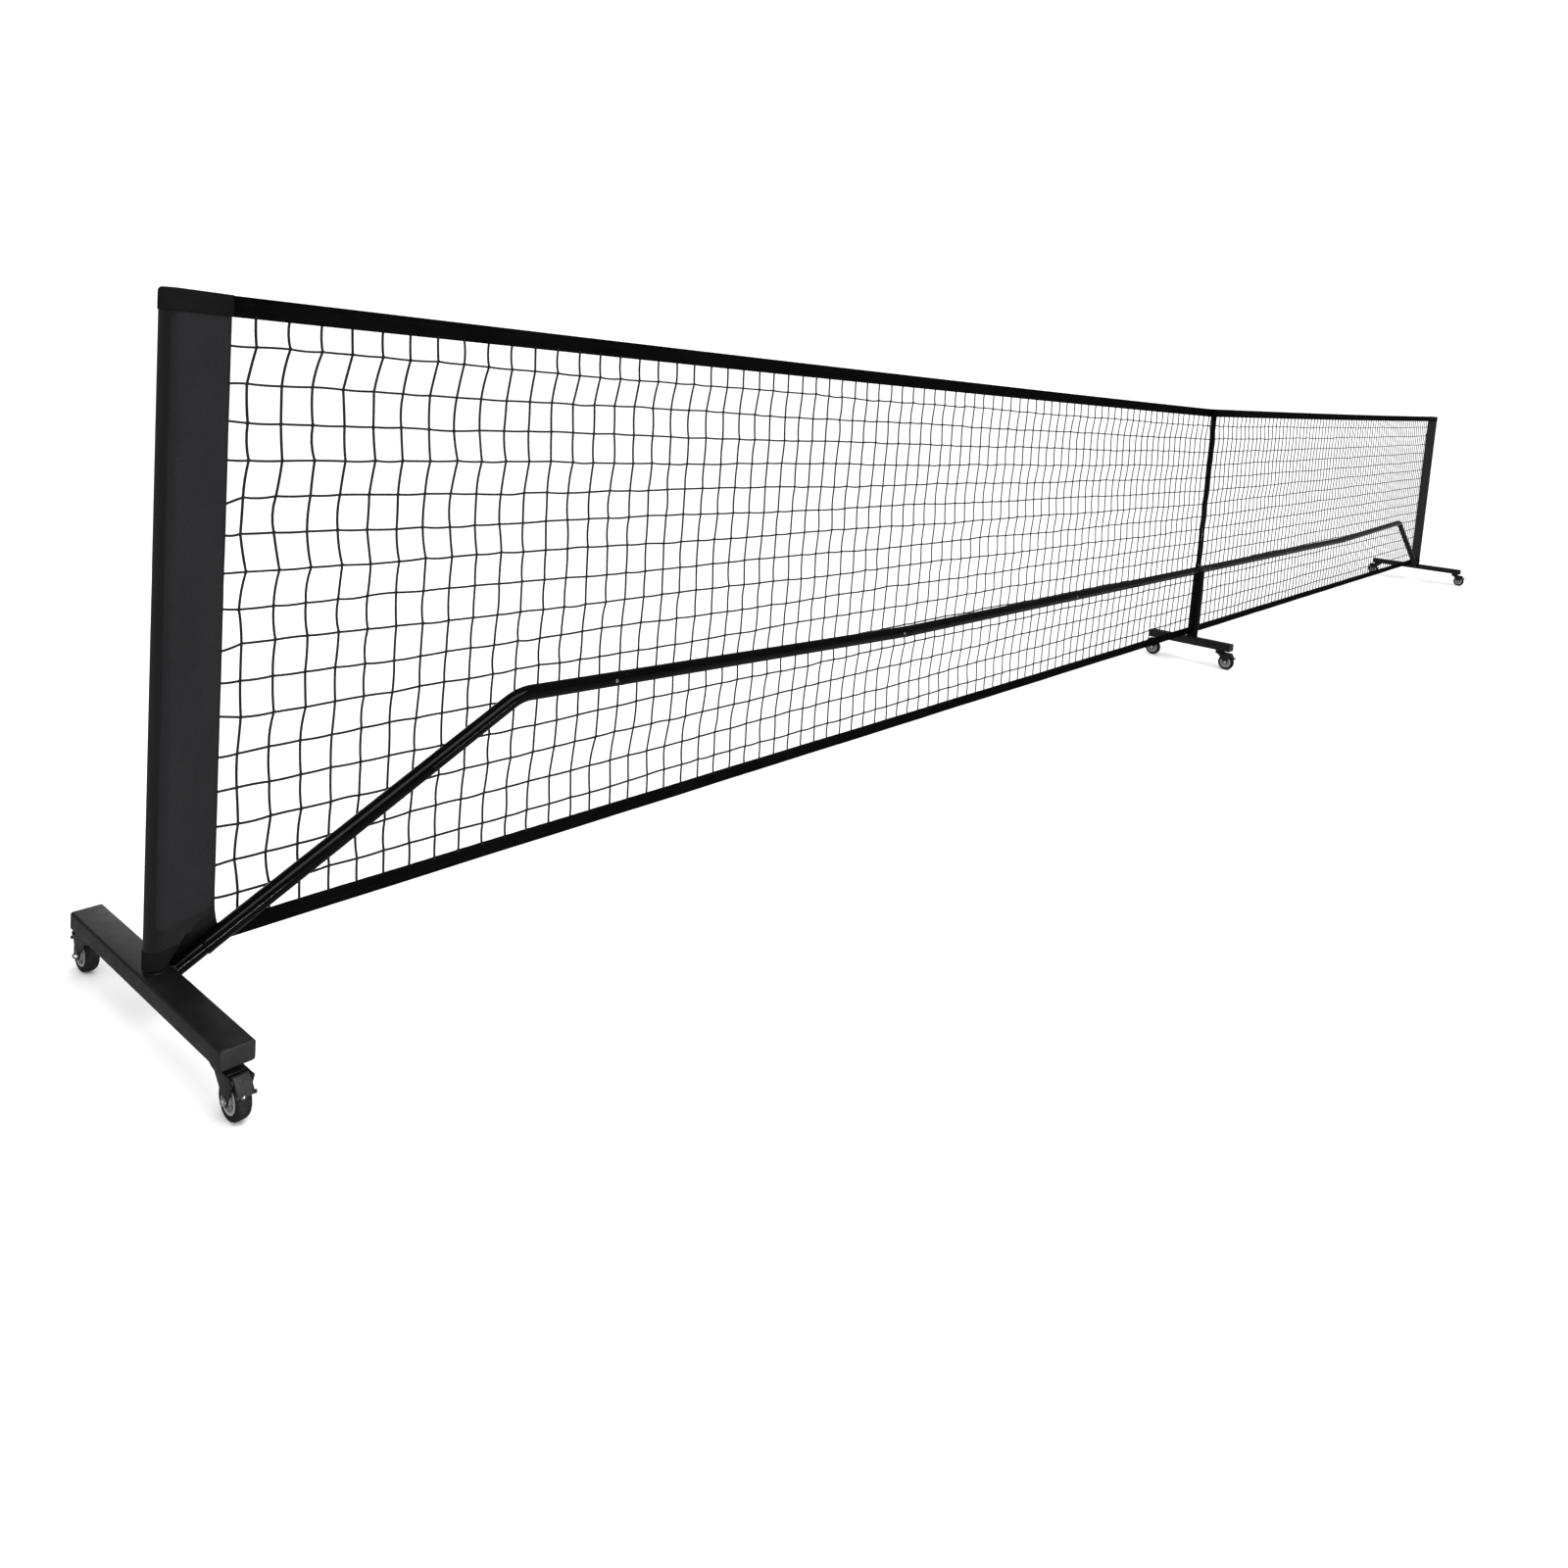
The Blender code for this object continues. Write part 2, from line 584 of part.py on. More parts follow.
def tyre_mesh():
    bore = HUB_RADIUS + GAP
    half = [(bore, WHEEL_HALF_WIDTH - 0.0004), (0.0205, WHEEL_HALF_WIDTH)]
    half += [(0.0236, WHEEL_HALF_WIDTH - 0.0018), (WHEEL_RADIUS, WHEEL_HALF_WIDTH - 0.0045)]
    profile = half + [(radius, -z) for radius, z in reversed(half)]
    return tidied(turned(profile, 20), Matrix.Rotation(math.radians(90), 4, "Y"))


def pedal_mesh():
    """Brake pedal in the caster frame: cross pin with heads, barrel, sloping tread and brake tongue."""
    tread = [(0.0285, 0.0552), (0.0325, 0.0562), (0.0408, 0.0496), (0.0488, 0.0386), (0.0470, 0.0376)]
    tread += [(0.0396, 0.0476), (0.0322, 0.0532), (0.0285, 0.0530)]
    tongue = [(0.0322, 0.0506), (0.0352, 0.0536), (0.0404, 0.0464), (0.0367, 0.0467)]
    turn = Matrix(((0, 0, 1, 0), (-1, 0, 0, 0), (0, 1, 0, 0), (0, 0, 0, 1)))
    tread_plate = tidied(plate([tread], -PEDAL_HALF_WIDTH, PEDAL_HALF_WIDTH), turn)
    tongue_plate = tidied(plate([tongue], -0.0055, 0.0055), turn)
    pivot = (-PEDAL_PIVOT_OUT, PEDAL_PIVOT_Z)
    barrel = rod((-LEG_INSIDE + 0.0008, *pivot), (LEG_INSIDE - 0.0008, *pivot), 0.0028, 12)
    outside = LEG_INSIDE + LEG_THICKNESS + GAP
    pin = rod((-outside - 0.0006, *pivot), (outside + 0.0006, *pivot), PIN_RADIUS, 10)
    heads = [
        rod((direction * outside, *pivot), (direction * (outside + 0.0012), *pivot), 0.0031, 10)
        for direction in (-1, 1)
    ]
    return combined([tread_plate, tongue_plate, barrel, pin] + heads)


# ---------------------------------------------------------------- assembly


def re_origin(mesh, origin):
    """A mesh moved so that its object can sit at the given origin, which is on its joint axis."""
    return tidied(mesh, Matrix.Translation(-Vector(origin)))


def add_end(side_name, side, parts, materials):
    post_x = side * HALF_SPAN
    at_post = (post_x, 0, 0)
    place(f"{side_name}_base", end_base_mesh(side), materials["foot_paint"], parts, at_post)
    post = upright_pipe(FOOT_TOP + GAP, END_POST_TOP, END_POST_RADIUS, END_POST_WALL)
    place(f"{side_name}_post", post, materials["tube_paint"], parts, at_post)
    place(f"{side_name}_sleeve", sleeve_mesh(side), materials["sleeve_fabric"], parts, at_post)
    place(f"{side_name}_elbow_tube", elbow_mesh(side), materials["tube_paint"], parts)
    for index in range(STRAIGHT_TUBES):
        tube = straight_tube_mesh(side, index)
        place(f"{side_name}_arch_tube_{index + 1}", tube, materials["tube_paint"], parts)


def add_buttons(parts, materials):
    button = snap_button_mesh()
    for side_name, side in (("left", -1), ("right", 1)):
        for index, joint in enumerate(JOINTS):
            station = joint - BUTTON_SETBACK
            location = at(side, station, 0, arch_z(station))
            name = f"{side_name}_snap_button_{index + 1}"
            place(name, button, materials["button_steel"], parts, location)


def add_middle(parts, materials):
    place("center_base", middle_base_mesh(), materials["foot_paint"], parts)
    place("center_lower_post", middle_lower_post_mesh(), materials["tube_paint"], parts)
    bottom = CROWN_Z + TUBE_RADIUS + GAP
    upper = upright_pipe(bottom, UPPER_POST_TOP, UPPER_POST_RADIUS, UPPER_POST_WALL)
    place("center_upper_post", upper, materials["tube_paint"], parts)
    place("center_pocket", middle_pocket_mesh(), materials["tape_fabric"], parts)


def add_net(parts, materials):
    half_length = HALF_SPAN - SLEEVE_LENGTH - GAP
    tape_bottom = NET_BOTTOM + BOTTOM_TAPE_HEIGHT

    def under_top_tape(x):
        return net_top(x) - TOP_TAPE_HEIGHT

    top = strip_mesh(under_top_tape, net_top, half_length, TAPE_THICKNESS, 16)
    bottom = strip_mesh(lambda x: NET_BOTTOM, lambda x: tape_bottom, half_length, TAPE_THICKNESS, 2)
    netting = strip_mesh(
        lambda x: tape_bottom + GAP, lambda x: under_top_tape(x) - GAP, half_length, NETTING_THICKNESS, 16
    )
    place("top_tape", top, materials["tape_fabric"], parts)
    place("bottom_tape", bottom, materials["tape_fabric"], parts)
    place("netting", netting, materials["net_cord"], parts)


def caster_places():
    """Name, x and y of each kingpin, and the turn that makes it trail outwards."""
    places = []
    for foot, x, y in (
        ("left", -HALF_SPAN, END_KINGPIN_Y),
        ("center", 0.0, MIDDLE_KINGPIN_Y),
        ("right", HALF_SPAN, END_KINGPIN_Y),
    ):
        places.append((f"{foot}_front_caster", x, -y, 0.0))
        places.append((f"{foot}_back_caster", x, y, math.pi))
    return places


def add_casters(parts, materials):
    axle = (0, -TRAIL, WHEEL_RADIUS)
    pivot = (0, -PEDAL_PIVOT_OUT, PEDAL_PIVOT_Z)
    pieces = [
        ("plate", caster_plate_mesh(), "caster_steel", (0, 0, 0)),
        ("fork", fork_mesh(), "caster_steel", (0, 0, 0)),
        ("hub", hub_mesh(), "hub_plastic", axle),
        ("tyre", tyre_mesh(), "tyre_rubber", axle),
        ("pedal", re_origin(pedal_mesh(), pivot), "pedal_plastic", pivot),
    ]
    for name, x, y, turn in caster_places():
        rotation = Matrix.Rotation(turn, 3, "Z")
        for piece, mesh, slot, offset in pieces:
            location = Vector((x, y, 0)) + rotation @ Vector(offset)
            place(f"{name}_{piece}", mesh, materials[slot], parts, location, turn)


def main():
    clear_scene()
    parts = bpy.data.collections.new("pickleball_net")
    bpy.context.scene.collection.children.link(parts)
    materials = make_materials()
    add_end("left", -1, parts, materials)
    add_end("right", 1, parts, materials)
    add_middle(parts, materials)
    add_buttons(parts, materials)
    add_net(parts, materials)
    add_casters(parts, materials)


main()
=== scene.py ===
"""Looks of a portable pickleball net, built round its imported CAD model.

Metres, in the CAD frame: X along the net, -Y the front, Z up. A station is a distance from the axis of an
end post towards the middle of the net. side is -1 for the left half and +1 for the right half.
"""

import json
import math

import bmesh
import bpy
import numpy as np
from mathutils import Matrix, Vector

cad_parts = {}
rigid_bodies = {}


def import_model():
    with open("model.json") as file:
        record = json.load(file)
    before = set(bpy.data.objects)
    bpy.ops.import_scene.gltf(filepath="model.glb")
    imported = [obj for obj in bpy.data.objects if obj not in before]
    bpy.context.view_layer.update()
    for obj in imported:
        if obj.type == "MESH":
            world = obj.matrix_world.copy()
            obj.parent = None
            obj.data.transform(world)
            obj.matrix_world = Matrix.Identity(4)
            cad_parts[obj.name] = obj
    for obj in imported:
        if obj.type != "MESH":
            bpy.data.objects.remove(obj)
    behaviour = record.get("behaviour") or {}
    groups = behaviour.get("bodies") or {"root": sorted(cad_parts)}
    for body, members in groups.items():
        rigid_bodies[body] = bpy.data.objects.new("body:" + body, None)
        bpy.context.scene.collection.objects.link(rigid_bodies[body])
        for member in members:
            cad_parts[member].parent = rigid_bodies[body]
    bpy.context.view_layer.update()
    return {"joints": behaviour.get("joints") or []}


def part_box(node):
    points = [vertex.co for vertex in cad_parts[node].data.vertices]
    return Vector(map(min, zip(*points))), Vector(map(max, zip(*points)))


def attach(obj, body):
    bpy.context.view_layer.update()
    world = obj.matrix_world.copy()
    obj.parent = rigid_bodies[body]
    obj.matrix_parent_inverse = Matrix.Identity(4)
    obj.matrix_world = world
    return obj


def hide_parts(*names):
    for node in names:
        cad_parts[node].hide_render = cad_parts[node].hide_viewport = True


for default in list(bpy.data.objects):
    bpy.data.objects.remove(default, do_unlink=True)

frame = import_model()

GAP = 0.0003
SIDES = (("left", -1), ("right", 1))
END_POST_LOW, END_POST_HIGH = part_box("right_post")
HALF_SPAN = (END_POST_LOW.x + END_POST_HIGH.x) / 2
END_POST_RADIUS = (END_POST_HIGH.x - END_POST_LOW.x) / 2
FOOT_TOP = END_POST_LOW.z - GAP
FOOT_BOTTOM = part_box("center_base")[0].z
FOOT_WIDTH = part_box("center_base")[1].x * 2
NET_Y = (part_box("top_tape")[0].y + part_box("top_tape")[1].y) / 2
NET_TOP_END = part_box("left_sleeve")[1].z
NET_TOP_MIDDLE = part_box("center_pocket")[1].z
NET_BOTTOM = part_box("bottom_tape")[0].z
TAPE_HALF_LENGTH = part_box("bottom_tape")[1].x
SLEEVE_LENGTH = HALF_SPAN - TAPE_HALF_LENGTH - GAP
TOP_TAPE_HEIGHT = NET_TOP_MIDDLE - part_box("center_pocket")[0].z
BOTTOM_TAPE_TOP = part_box("bottom_tape")[1].z
NET_TOP_SAG = 0.003
TUBE_RADIUS = (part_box("left_arch_tube_3")[1].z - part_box("left_arch_tube_3")[0].z) / 2
PLUG_RADIUS = 0.0108
STUB_RADIUS = 0.0111
PLUG_LENGTH = 0.060
CROWN_Z = (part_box("left_arch_tube_3")[1].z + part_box("left_arch_tube_3")[0].z) / 2
DIAGONAL = math.radians(27.7)
BEND_STATION = 0.530
BEND_Z = 0.3453
BEND_RADIUS = 0.080
STRAIGHT_TUBES = 3
JOINTS = [HALF_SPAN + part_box("left_elbow_tube")[1].x]
JOINTS += [HALF_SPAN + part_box(f"left_arch_tube_{i + 1}")[1].x for i in range(STRAIGHT_TUBES)]
COLLAR_STATION = 0.057
BUTTON_SETBACK = 0.025
TUBE_WALL = 0.0012
END_POST_WALL = 0.0015
POST_WELD_RADIUS = 0.0128
SLEEVE_RADIUS = END_POST_RADIUS + 0.0017
HALF_SEAM = 0.0009  # half the thickness of the sleeve where its two layers meet
SMOOTH_ANGLE = math.radians(38)


# ---------------- materials


class Looks:
    """A material with a Principled shader, and short ways to add the nodes that drive it."""

    def __init__(self, name, **constants):
        self.material = bpy.data.materials.new(name)
        self.material.use_nodes = True
        self.tree = self.material.node_tree
        self.shader = self.tree.nodes["Principled BSDF"]
        for socket, value in constants.items():
            self.shader.inputs[socket.replace("_", " ")].default_value = value
        self.place = self.add("TexCoord").outputs["Object"]

    def add(self, kind, inputs=None, **settings):
        node = self.tree.nodes.new("ShaderNode" + kind)
        for setting, value in settings.items():
            setattr(node, setting, value)
        for socket, value in (inputs or {}).items():
            if isinstance(value, bpy.types.NodeSocket):
                self.tree.links.new(value, node.inputs[socket])
            else:
                node.inputs[socket].default_value = value
        return node

    def noise(self, scale, detail=4.0, stretch=(1, 1, 1)):
        """Noise with about `scale` features per metre."""
        spread = self.add("VectorMath", {0: self.place, 1: stretch}, operation="MULTIPLY")
        inputs = {"Vector": spread.outputs[0], "Scale": scale, "Detail": detail}
        return self.add("TexNoise", inputs).outputs["Fac"]

    def waves(self, pitch, direction, distortion=0.0):
        """Sine bands, one every `pitch` metres along X, Y or Z."""
        scale = 2 * math.pi / 20 / pitch
        inputs = {"Vector": self.place, "Scale": scale, "Distortion": distortion}
        return self.add("TexWave", inputs, bands_direction=direction).outputs["Fac"]

    def math(self, operation, first, second=0.0):
        return self.add("Math", {0: first, 1: second}, operation=operation).outputs[0]

    def remap(self, value, from_low, from_high, low, high):
        inputs = {"Value": value, 1: from_low, 2: from_high, 3: low, 4: high}
        return self.add("MapRange", inputs).outputs[0]

    def mix(self, factor, first, second):
        """A colour between two colours, each three numbers or a socket."""
        node = self.add("Mix", {"Factor": factor}, data_type="RGBA")
        for socket, value in (("A", first), ("B", second)):
            target = [s for s in node.inputs if s.name == socket and s.type == "RGBA"][0]
            if isinstance(value, bpy.types.NodeSocket):
                self.tree.links.new(value, target)
            else:
                target.default_value = (*value, 1)
        return [s for s in node.outputs if s.type == "RGBA"][0]

    def color(self, socket):
        self.tree.links.new(socket, self.shader.inputs["Base Color"])

    def rough(self, value, low, high):
        self.tree.links.new(self.remap(value, 0.3, 0.7, low, high), self.shader.inputs["Roughness"])

    def bump(self, height, depth):
        """Relief `depth` metres deep where height runs from 0 to 1."""
        inputs = {"Height": height, "Strength": 1.0, "Distance": depth}
        normal = self.add("Bump", inputs).outputs[0]
        self.tree.links.new(normal, self.shader.inputs["Normal"])


def gray(value, blue=1.04):
    return (value, value, value * blue)


def surface(name, tones, mottle, share, rough_noise, rough, bump_noise, depth, **constants):
    """Two tones mottled by noise where it lies in share, an uneven roughness, and fine relief."""
    looks = Looks(name, **constants)
    looks.color(looks.mix(looks.remap(looks.noise(*mottle), *share, 0, 1), *tones))
    looks.rough(looks.noise(*rough_noise), *rough)
    looks.bump(looks.noise(*bump_noise), depth)
    return looks.material


def weave(looks, pitch):
    """Height of a plain weave in the XZ plane, 0 to 1."""
    across = looks.waves(pitch, "X", 0.3)
    along = looks.waves(pitch, "Z", 0.3)
    turned = looks.math("SUBTRACT", 1.0, along)
    over = looks.math("MULTIPLY", across, along)
    under = looks.math("MULTIPLY", looks.math("SUBTRACT", 1.0, across), turned)
    return looks.math("ADD", over, under)


def rounded_panel_mask(looks, center, half_size, corner):
    """1 inside an upright rounded rectangle, 0 outside."""
    offset = looks.add("VectorMath", {0: looks.place, 1: center}, operation="SUBTRACT").outputs[0]
    offset = looks.add("VectorMath", {0: offset}, operation="ABSOLUTE").outputs[0]
    inner = (half_size[0] - corner, 1.0, half_size[1] - corner)
    offset = looks.add("VectorMath", {0: offset, 1: inner}, operation="SUBTRACT").outputs[0]
    offset = looks.add("VectorMath", {0: offset, 1: (0, 0, 0)}, operation="MAXIMUM").outputs[0]
    length = looks.add("VectorMath", {0: offset}, operation="LENGTH").outputs["Value"]
    return looks.remap(length, corner - 0.0006, corner + 0.0006, 1, 0)


def sleeve_fabric(side):
    """Charcoal polyester panel inside a black stitched-down border. On the post side the border's darkness
    is partly painted shade, where the fabric turns away round the post.
    """
    looks = Looks(f"sleeve_fabric_{side}", Sheen_Weight=0.04, Sheen_Roughness=0.6, Specular_IOR_Level=0.12)
    high, low = NET_TOP_END - TOP_TAPE_HEIGHT - 0.001, BOTTOM_TAPE_TOP + 0.026
    left, right = -0.0060, SLEEVE_LENGTH - 0.0040
    center = (-side * (left + right) / 2, 0, (high + low) / 2)
    panel = rounded_panel_mask(looks, center, ((right - left) / 2, (high - low) / 2), 0.012)
    cloud = looks.remap(looks.noise(14, 4), 0.3, 0.7, 0, 1)
    inside = looks.mix(cloud, (0.0054, 0.0054, 0.0066), (0.0070, 0.0070, 0.0084))
    # the border colour is the black binding; round the post it also stands in for shade, so it is painted
    # shade there
    looks.color(looks.mix(panel, gray(0.0030), inside))
    looks.rough(looks.noise(300, 2), 0.72, 0.9)
    looks.bump(weave(looks, 0.0009), 0.00018)
    return looks.material


def tape_fabric(name, low, high):
    """Black webbing with a fine rib across its width."""
    looks = Looks(name, Specular_IOR_Level=0.05)
    fade = looks.remap(looks.noise(20, 5, (0.5, 1, 1)), 0.35, 0.7, 0, 1)
    looks.color(looks.mix(fade, gray(low), gray(high)))
    looks.rough(looks.noise(200, 2), 0.7, 0.9)
    looks.bump(weave(looks, 0.0011), 0.0002)
    return looks.material


def twine():
    """Black knotted polyethylene twine with twisted strands."""
    looks = Looks("netting_twine", Specular_IOR_Level=0.1)
    looks.color(looks.mix(looks.remap(looks.noise(35, 4), 0.3, 0.7, 0, 1), gray(0.004), gray(0.014)))
    looks.rough(looks.noise(500, 2), 0.55, 0.8)
    looks.bump(looks.waves(0.0016, "DIAGONAL", 0.5), 0.00025)
    return looks.material


def moulded(name, low, high, rough_low, rough_high):
    """Moulded plastic with a fine texture."""
    return surface(name, (gray(low), gray(high)), (120, 4), (0.3, 0.7), (300, 3), (rough_low, rough_high),
                   (2500, 2), 0.00006, Specular_IOR_Level=0.4)


def bare_steel(name, tone, rough_low, rough_high):
    """Plated or bare steel, slightly brushed."""
    tones = (gray(tone, 1.02), gray(tone * 0.7, 1.02))
    return surface(name, tones, (150, 5), (0.35, 0.7), (900, 3, (0.1, 1, 1)), (rough_low, rough_high),
                   (3000, 2, (0.05, 1, 1)), 0.00003, Metallic=1.0)


def floor_paint():
    """Pale studio floor, which glossy paint picks up only faintly."""
    looks = Looks("pale_floor", Specular_IOR_Level=0.0)
    pale = looks.mix(looks.noise(1.5, 2), (0.93, 0.93, 0.93), (0.95, 0.95, 0.95))
    glossy = looks.add("LightPath").outputs["Is Glossy Ray"]
    looks.color(looks.mix(glossy, pale, (0.22, 0.22, 0.22)))
    looks.rough(looks.noise(20, 2), 0.9, 1.0)
    return looks.material


LOOKS = {
    # satin powder coat: orange-peel relief and faint mottling
    "foot_paint": surface("foot_powder_coat", (gray(0.0060), gray(0.0096)), (28, 5), (0.35, 0.7),
                          (60, 3), (0.30, 0.42), (900, 2), 0.00012, Specular_IOR_Level=0.20),
    # gloss black enamel with slight smears
    "tube_paint": surface("tube_gloss_enamel", (gray(0.0007), gray(0.0016)), (9, 5, (1, 3, 3)), (0.4, 0.7),
                          (40, 4, (0.3, 1, 1)), (0.05, 0.10), (260, 2), 0.00003, Specular_IOR_Level=0.12),
    "sleeve_left": sleeve_fabric(-1),
    "sleeve_right": sleeve_fabric(1),
    "tape": tape_fabric("tape_webbing", 0.0005, 0.0015),
    "sleeve_band": tape_fabric("sleeve_band_webbing", 0.0040, 0.0064),
    "thread": surface("stitching_thread", (gray(0.004), gray(0.012)), (400, 2), (0, 1),
                      (700, 2), (0.55, 0.75), (4000, 1), 0.00005, Specular_IOR_Level=0.15),
    "twine": twine(),
    "cap_plastic": moulded("cap_plastic_black", 0.006, 0.011, 0.38, 0.5),
    "pedal_plastic": moulded("pedal_plastic_gray", 0.009, 0.016, 0.42, 0.56),
    "hub_plastic": moulded("hub_plastic_gray", 0.20, 0.27, 0.36, 0.5),
    # black rubber with dust worn into its tread
    "tyre": surface("tyre_rubber_worn", (gray(0.0045), (0.017, 0.0165, 0.016)), (220, 6, (0.6, 1, 1)),
                    (0.5, 0.75), (400, 3), (0.55, 0.8), (1800, 3), 0.00012, Specular_IOR_Level=0.30),
    "black_steel": surface("caster_black_steel", (gray(0.004), gray(0.009)), (90, 4), (0.35, 0.7),
                           (250, 4), (0.28, 0.42), (1300, 2), 0.00006, Specular_IOR_Level=0.28),
    "zinc_steel": bare_steel("zinc_plated_steel", 0.92, 0.22, 0.38),
    "button_steel": bare_steel("button_bare_steel", 0.38, 0.15, 0.36),
    "floor": floor_paint(),
}


# ---------------- mesh tools


def smooth(mesh):
    """Smooth shading that breaks at real edges."""
    mesh.shade_smooth()
    mesh.set_sharp_from_angle(angle=SMOOTH_ANGLE)
    return mesh


def make_mesh(name, points, faces):
    """A smooth-shaded mesh with its faces turned outwards."""
    mesh = bpy.data.meshes.new(name)
    mesh.from_pydata([tuple(map(float, p)) for p in points], [], [tuple(map(int, f)) for f in faces])
    shape = bmesh.new()
    shape.from_mesh(mesh)
    bmesh.ops.recalc_face_normals(shape, faces=shape.faces)
    shape.to_mesh(mesh)
    shape.free()
    return smooth(mesh)


def ring_faces(rings, sides, loop=False, first=0):
    """Quads between rings of points that are stored one ring after the other."""
    faces = []
    for ring in range(rings if loop else rings - 1):
        a, b = ring * sides, (ring + 1) % rings * sides
        for i in range(sides):
            j = (i + 1) % sides
            faces.append((first + a + i, first + a + j, first + b + j, first + b + i))
    return faces


def loft(name, rings, loop=False, caps=False, lid=False):
    """Skin over rings. loop joins the last ring to the first; caps closes both ends, lid the last one."""
    rings = np.asarray(rings, float)
    count, sides = rings.shape[:2]
    faces = ring_faces(count, sides, loop)
    if caps:
        faces.append(tuple(range(sides))[::-1])
    if caps or lid:
        faces.append(tuple(range((count - 1) * sides, count * sides)))
    return make_mesh(name, rings.reshape(-1, 3), faces)


def circle_angles(count):
    return np.linspace(0, 2 * np.pi, count, endpoint=False)


def tube_rings(points, radii, sides, across=(0.0, 1.0, 0.0)):
    """Circles along a line that stays square to `across`."""
    points = np.asarray(points, float)
    tangents = np.gradient(points, axis=0)
    tangents /= np.linalg.norm(tangents, axis=1, keepdims=True)
    across = np.asarray(across, float)
    up = np.cross(tangents, across)
    up /= np.linalg.norm(up, axis=1, keepdims=True)
    angles = circle_angles(sides)[None, :, None]
    circle = np.cos(angles) * across + np.sin(angles) * up[:, None, :]
    return points[:, None, :] + np.asarray(radii, float)[:, None, None] * circle


def pipe(name, points, radii, wall):
    """An open tube with a wall and eased edges."""
    outside = tube_rings(points, radii, 40)
    inside = tube_rings(points, np.asarray(radii) - wall, 40)[::-1]
    return loft(name, np.concatenate([outside, inside]), loop=True)


def turned(name, profile, steps, axis="Z", solid=False, start=0.0):
    """A (radius, height) profile turned about an axis: a ring of that section, or a solid with ends."""
    angles = circle_angles(steps) + start
    rings = [[(r * math.cos(a), r * math.sin(a), h) for a in angles] for r, h in profile]
    mesh = loft(name, rings, loop=not solid, caps=solid)
    if axis == "X":
        mesh.transform(Matrix.Rotation(math.radians(90), 4, "Y"))
    return mesh


def solid_turned(name, profile, steps, axis="Z", start=0.0):
    return turned(name, profile, steps, axis, True, start)


def rounded_rectangle(half_width, half_height, radius, steps=5):
    """Outline points, anticlockwise."""
    points = []
    for corner in range(4):
        x = (half_width - radius) * (1 if corner in (0, 3) else -1)
        z = (half_height - radius) * (1 if corner in (0, 1) else -1)
        for i in range(steps + 1):
            a = math.radians(90 * (corner + i / steps))
            points.append((x + radius * math.cos(a), z + radius * math.sin(a)))
    return points


def arc(center, radius, start_deg, end_deg, steps):
    angles = [math.radians(start_deg + (end_deg - start_deg) * i / steps) for i in range(steps + 1)]
    return [(center[0] + radius * math.cos(a), center[1] + radius * math.sin(a)) for a in angles]


def extruded(name, outline, low, high, bevel=0.0, segments=2):
    """A flat outline in (y, z) extruded along X, with eased edges."""
    count = len(outline)
    points = [(low, y, z) for y, z in outline] + [(high, y, z) for y, z in outline]
    faces = ring_faces(2, count)
    faces += [tuple(range(count))[::-1], tuple(range(count, 2 * count))]
    mesh = make_mesh(name, points, faces)
    if bevel:
        bevelled(mesh, bevel, segments)
    return mesh


def bevelled(mesh, width, segments=2):
    """Rounds the edges where faces turn by more than 30 degrees."""
    shape = bmesh.new()
    shape.from_mesh(mesh)
    limit = math.radians(30)
    sharp = [edge for edge in shape.edges if len(edge.link_faces) == 2 and edge.calc_face_angle() > limit]
    bmesh.ops.bevel(shape, geom=sharp, offset=width, segments=segments, profile=0.5, affect="EDGES",
                    clamp_overlap=True)
    shape.to_mesh(mesh)
    shape.free()
    return smooth(mesh)


def merged(name, meshes):
    """Several meshes as one piece."""
    shape = bmesh.new()
    for mesh in meshes:
        shape.from_mesh(mesh)
    whole = bpy.data.meshes.new(name)
    shape.to_mesh(whole)
    shape.free()
    return smooth(whole)


def cut(mesh, cutters):
    """Boolean difference, worked out on helper objects that are then removed."""
    base = bpy.data.objects.new("base", mesh)
    bpy.context.scene.collection.objects.link(base)
    helpers = []
    for cutter in cutters:
        helper = bpy.data.objects.new("cutter", cutter)
        bpy.context.scene.collection.objects.link(helper)
        modifier = base.modifiers.new("cut", "BOOLEAN")
        modifier.operation = "DIFFERENCE"
        modifier.object = helper
        helpers.append(helper)
    graph = bpy.context.evaluated_depsgraph_get()
    result = bpy.data.meshes.new_from_object(base.evaluated_get(graph))
    for obj in [base] + helpers:
        bpy.data.objects.remove(obj, do_unlink=True)
    return smooth(result)


def thicken(obj, thickness, offset=-1.0):
    """Cloth of a real thickness, inwards unless offset says otherwise."""
    cloth = obj.modifiers.new("cloth", "SOLIDIFY")
    cloth.thickness = thickness
    cloth.offset = offset
    return obj


def piece(name, mesh, look, slot, replaces=(), location=(0, 0, 0), turn=0.0, body="frame"):
    """A visible piece of the object, in place and riding on its body."""
    obj = bpy.data.objects.new(name, mesh)
    obj.location = location
    obj.rotation_euler.z = turn
    bpy.context.scene.collection.objects.link(obj)
    if not mesh.materials:
        mesh.materials.append(LOOKS[look])
    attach(obj, body)
    if replaces:
        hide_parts(*replaces)
    return obj


# ---------------- shape of the net and arch


def net_top(x):
    share = 1 - abs(x) / HALF_SPAN
    fall = (NET_TOP_END - NET_TOP_MIDDLE) * share
    return NET_TOP_END - fall - 4 * NET_TOP_SAG * share * (1 - share)


def eased(t):
    """0 up to t = 0, 1 from t = 1, and smooth between."""
    t = min(max(t, 0.0), 1.0)
    return t * t * (3 - 2 * t)


def at(side, station, y, z):
    return (side * (HALF_SPAN - station), y, z)


def diagonal_z(station):
    return BEND_Z + (station - BEND_STATION) * math.tan(DIAGONAL)


def arch_z(station):
    fall = (BEND_Z - CROWN_Z) / (JOINTS[1] - BEND_STATION)
    return max(BEND_Z - fall * (station - BEND_STATION), CROWN_Z)


# ---------------- frame


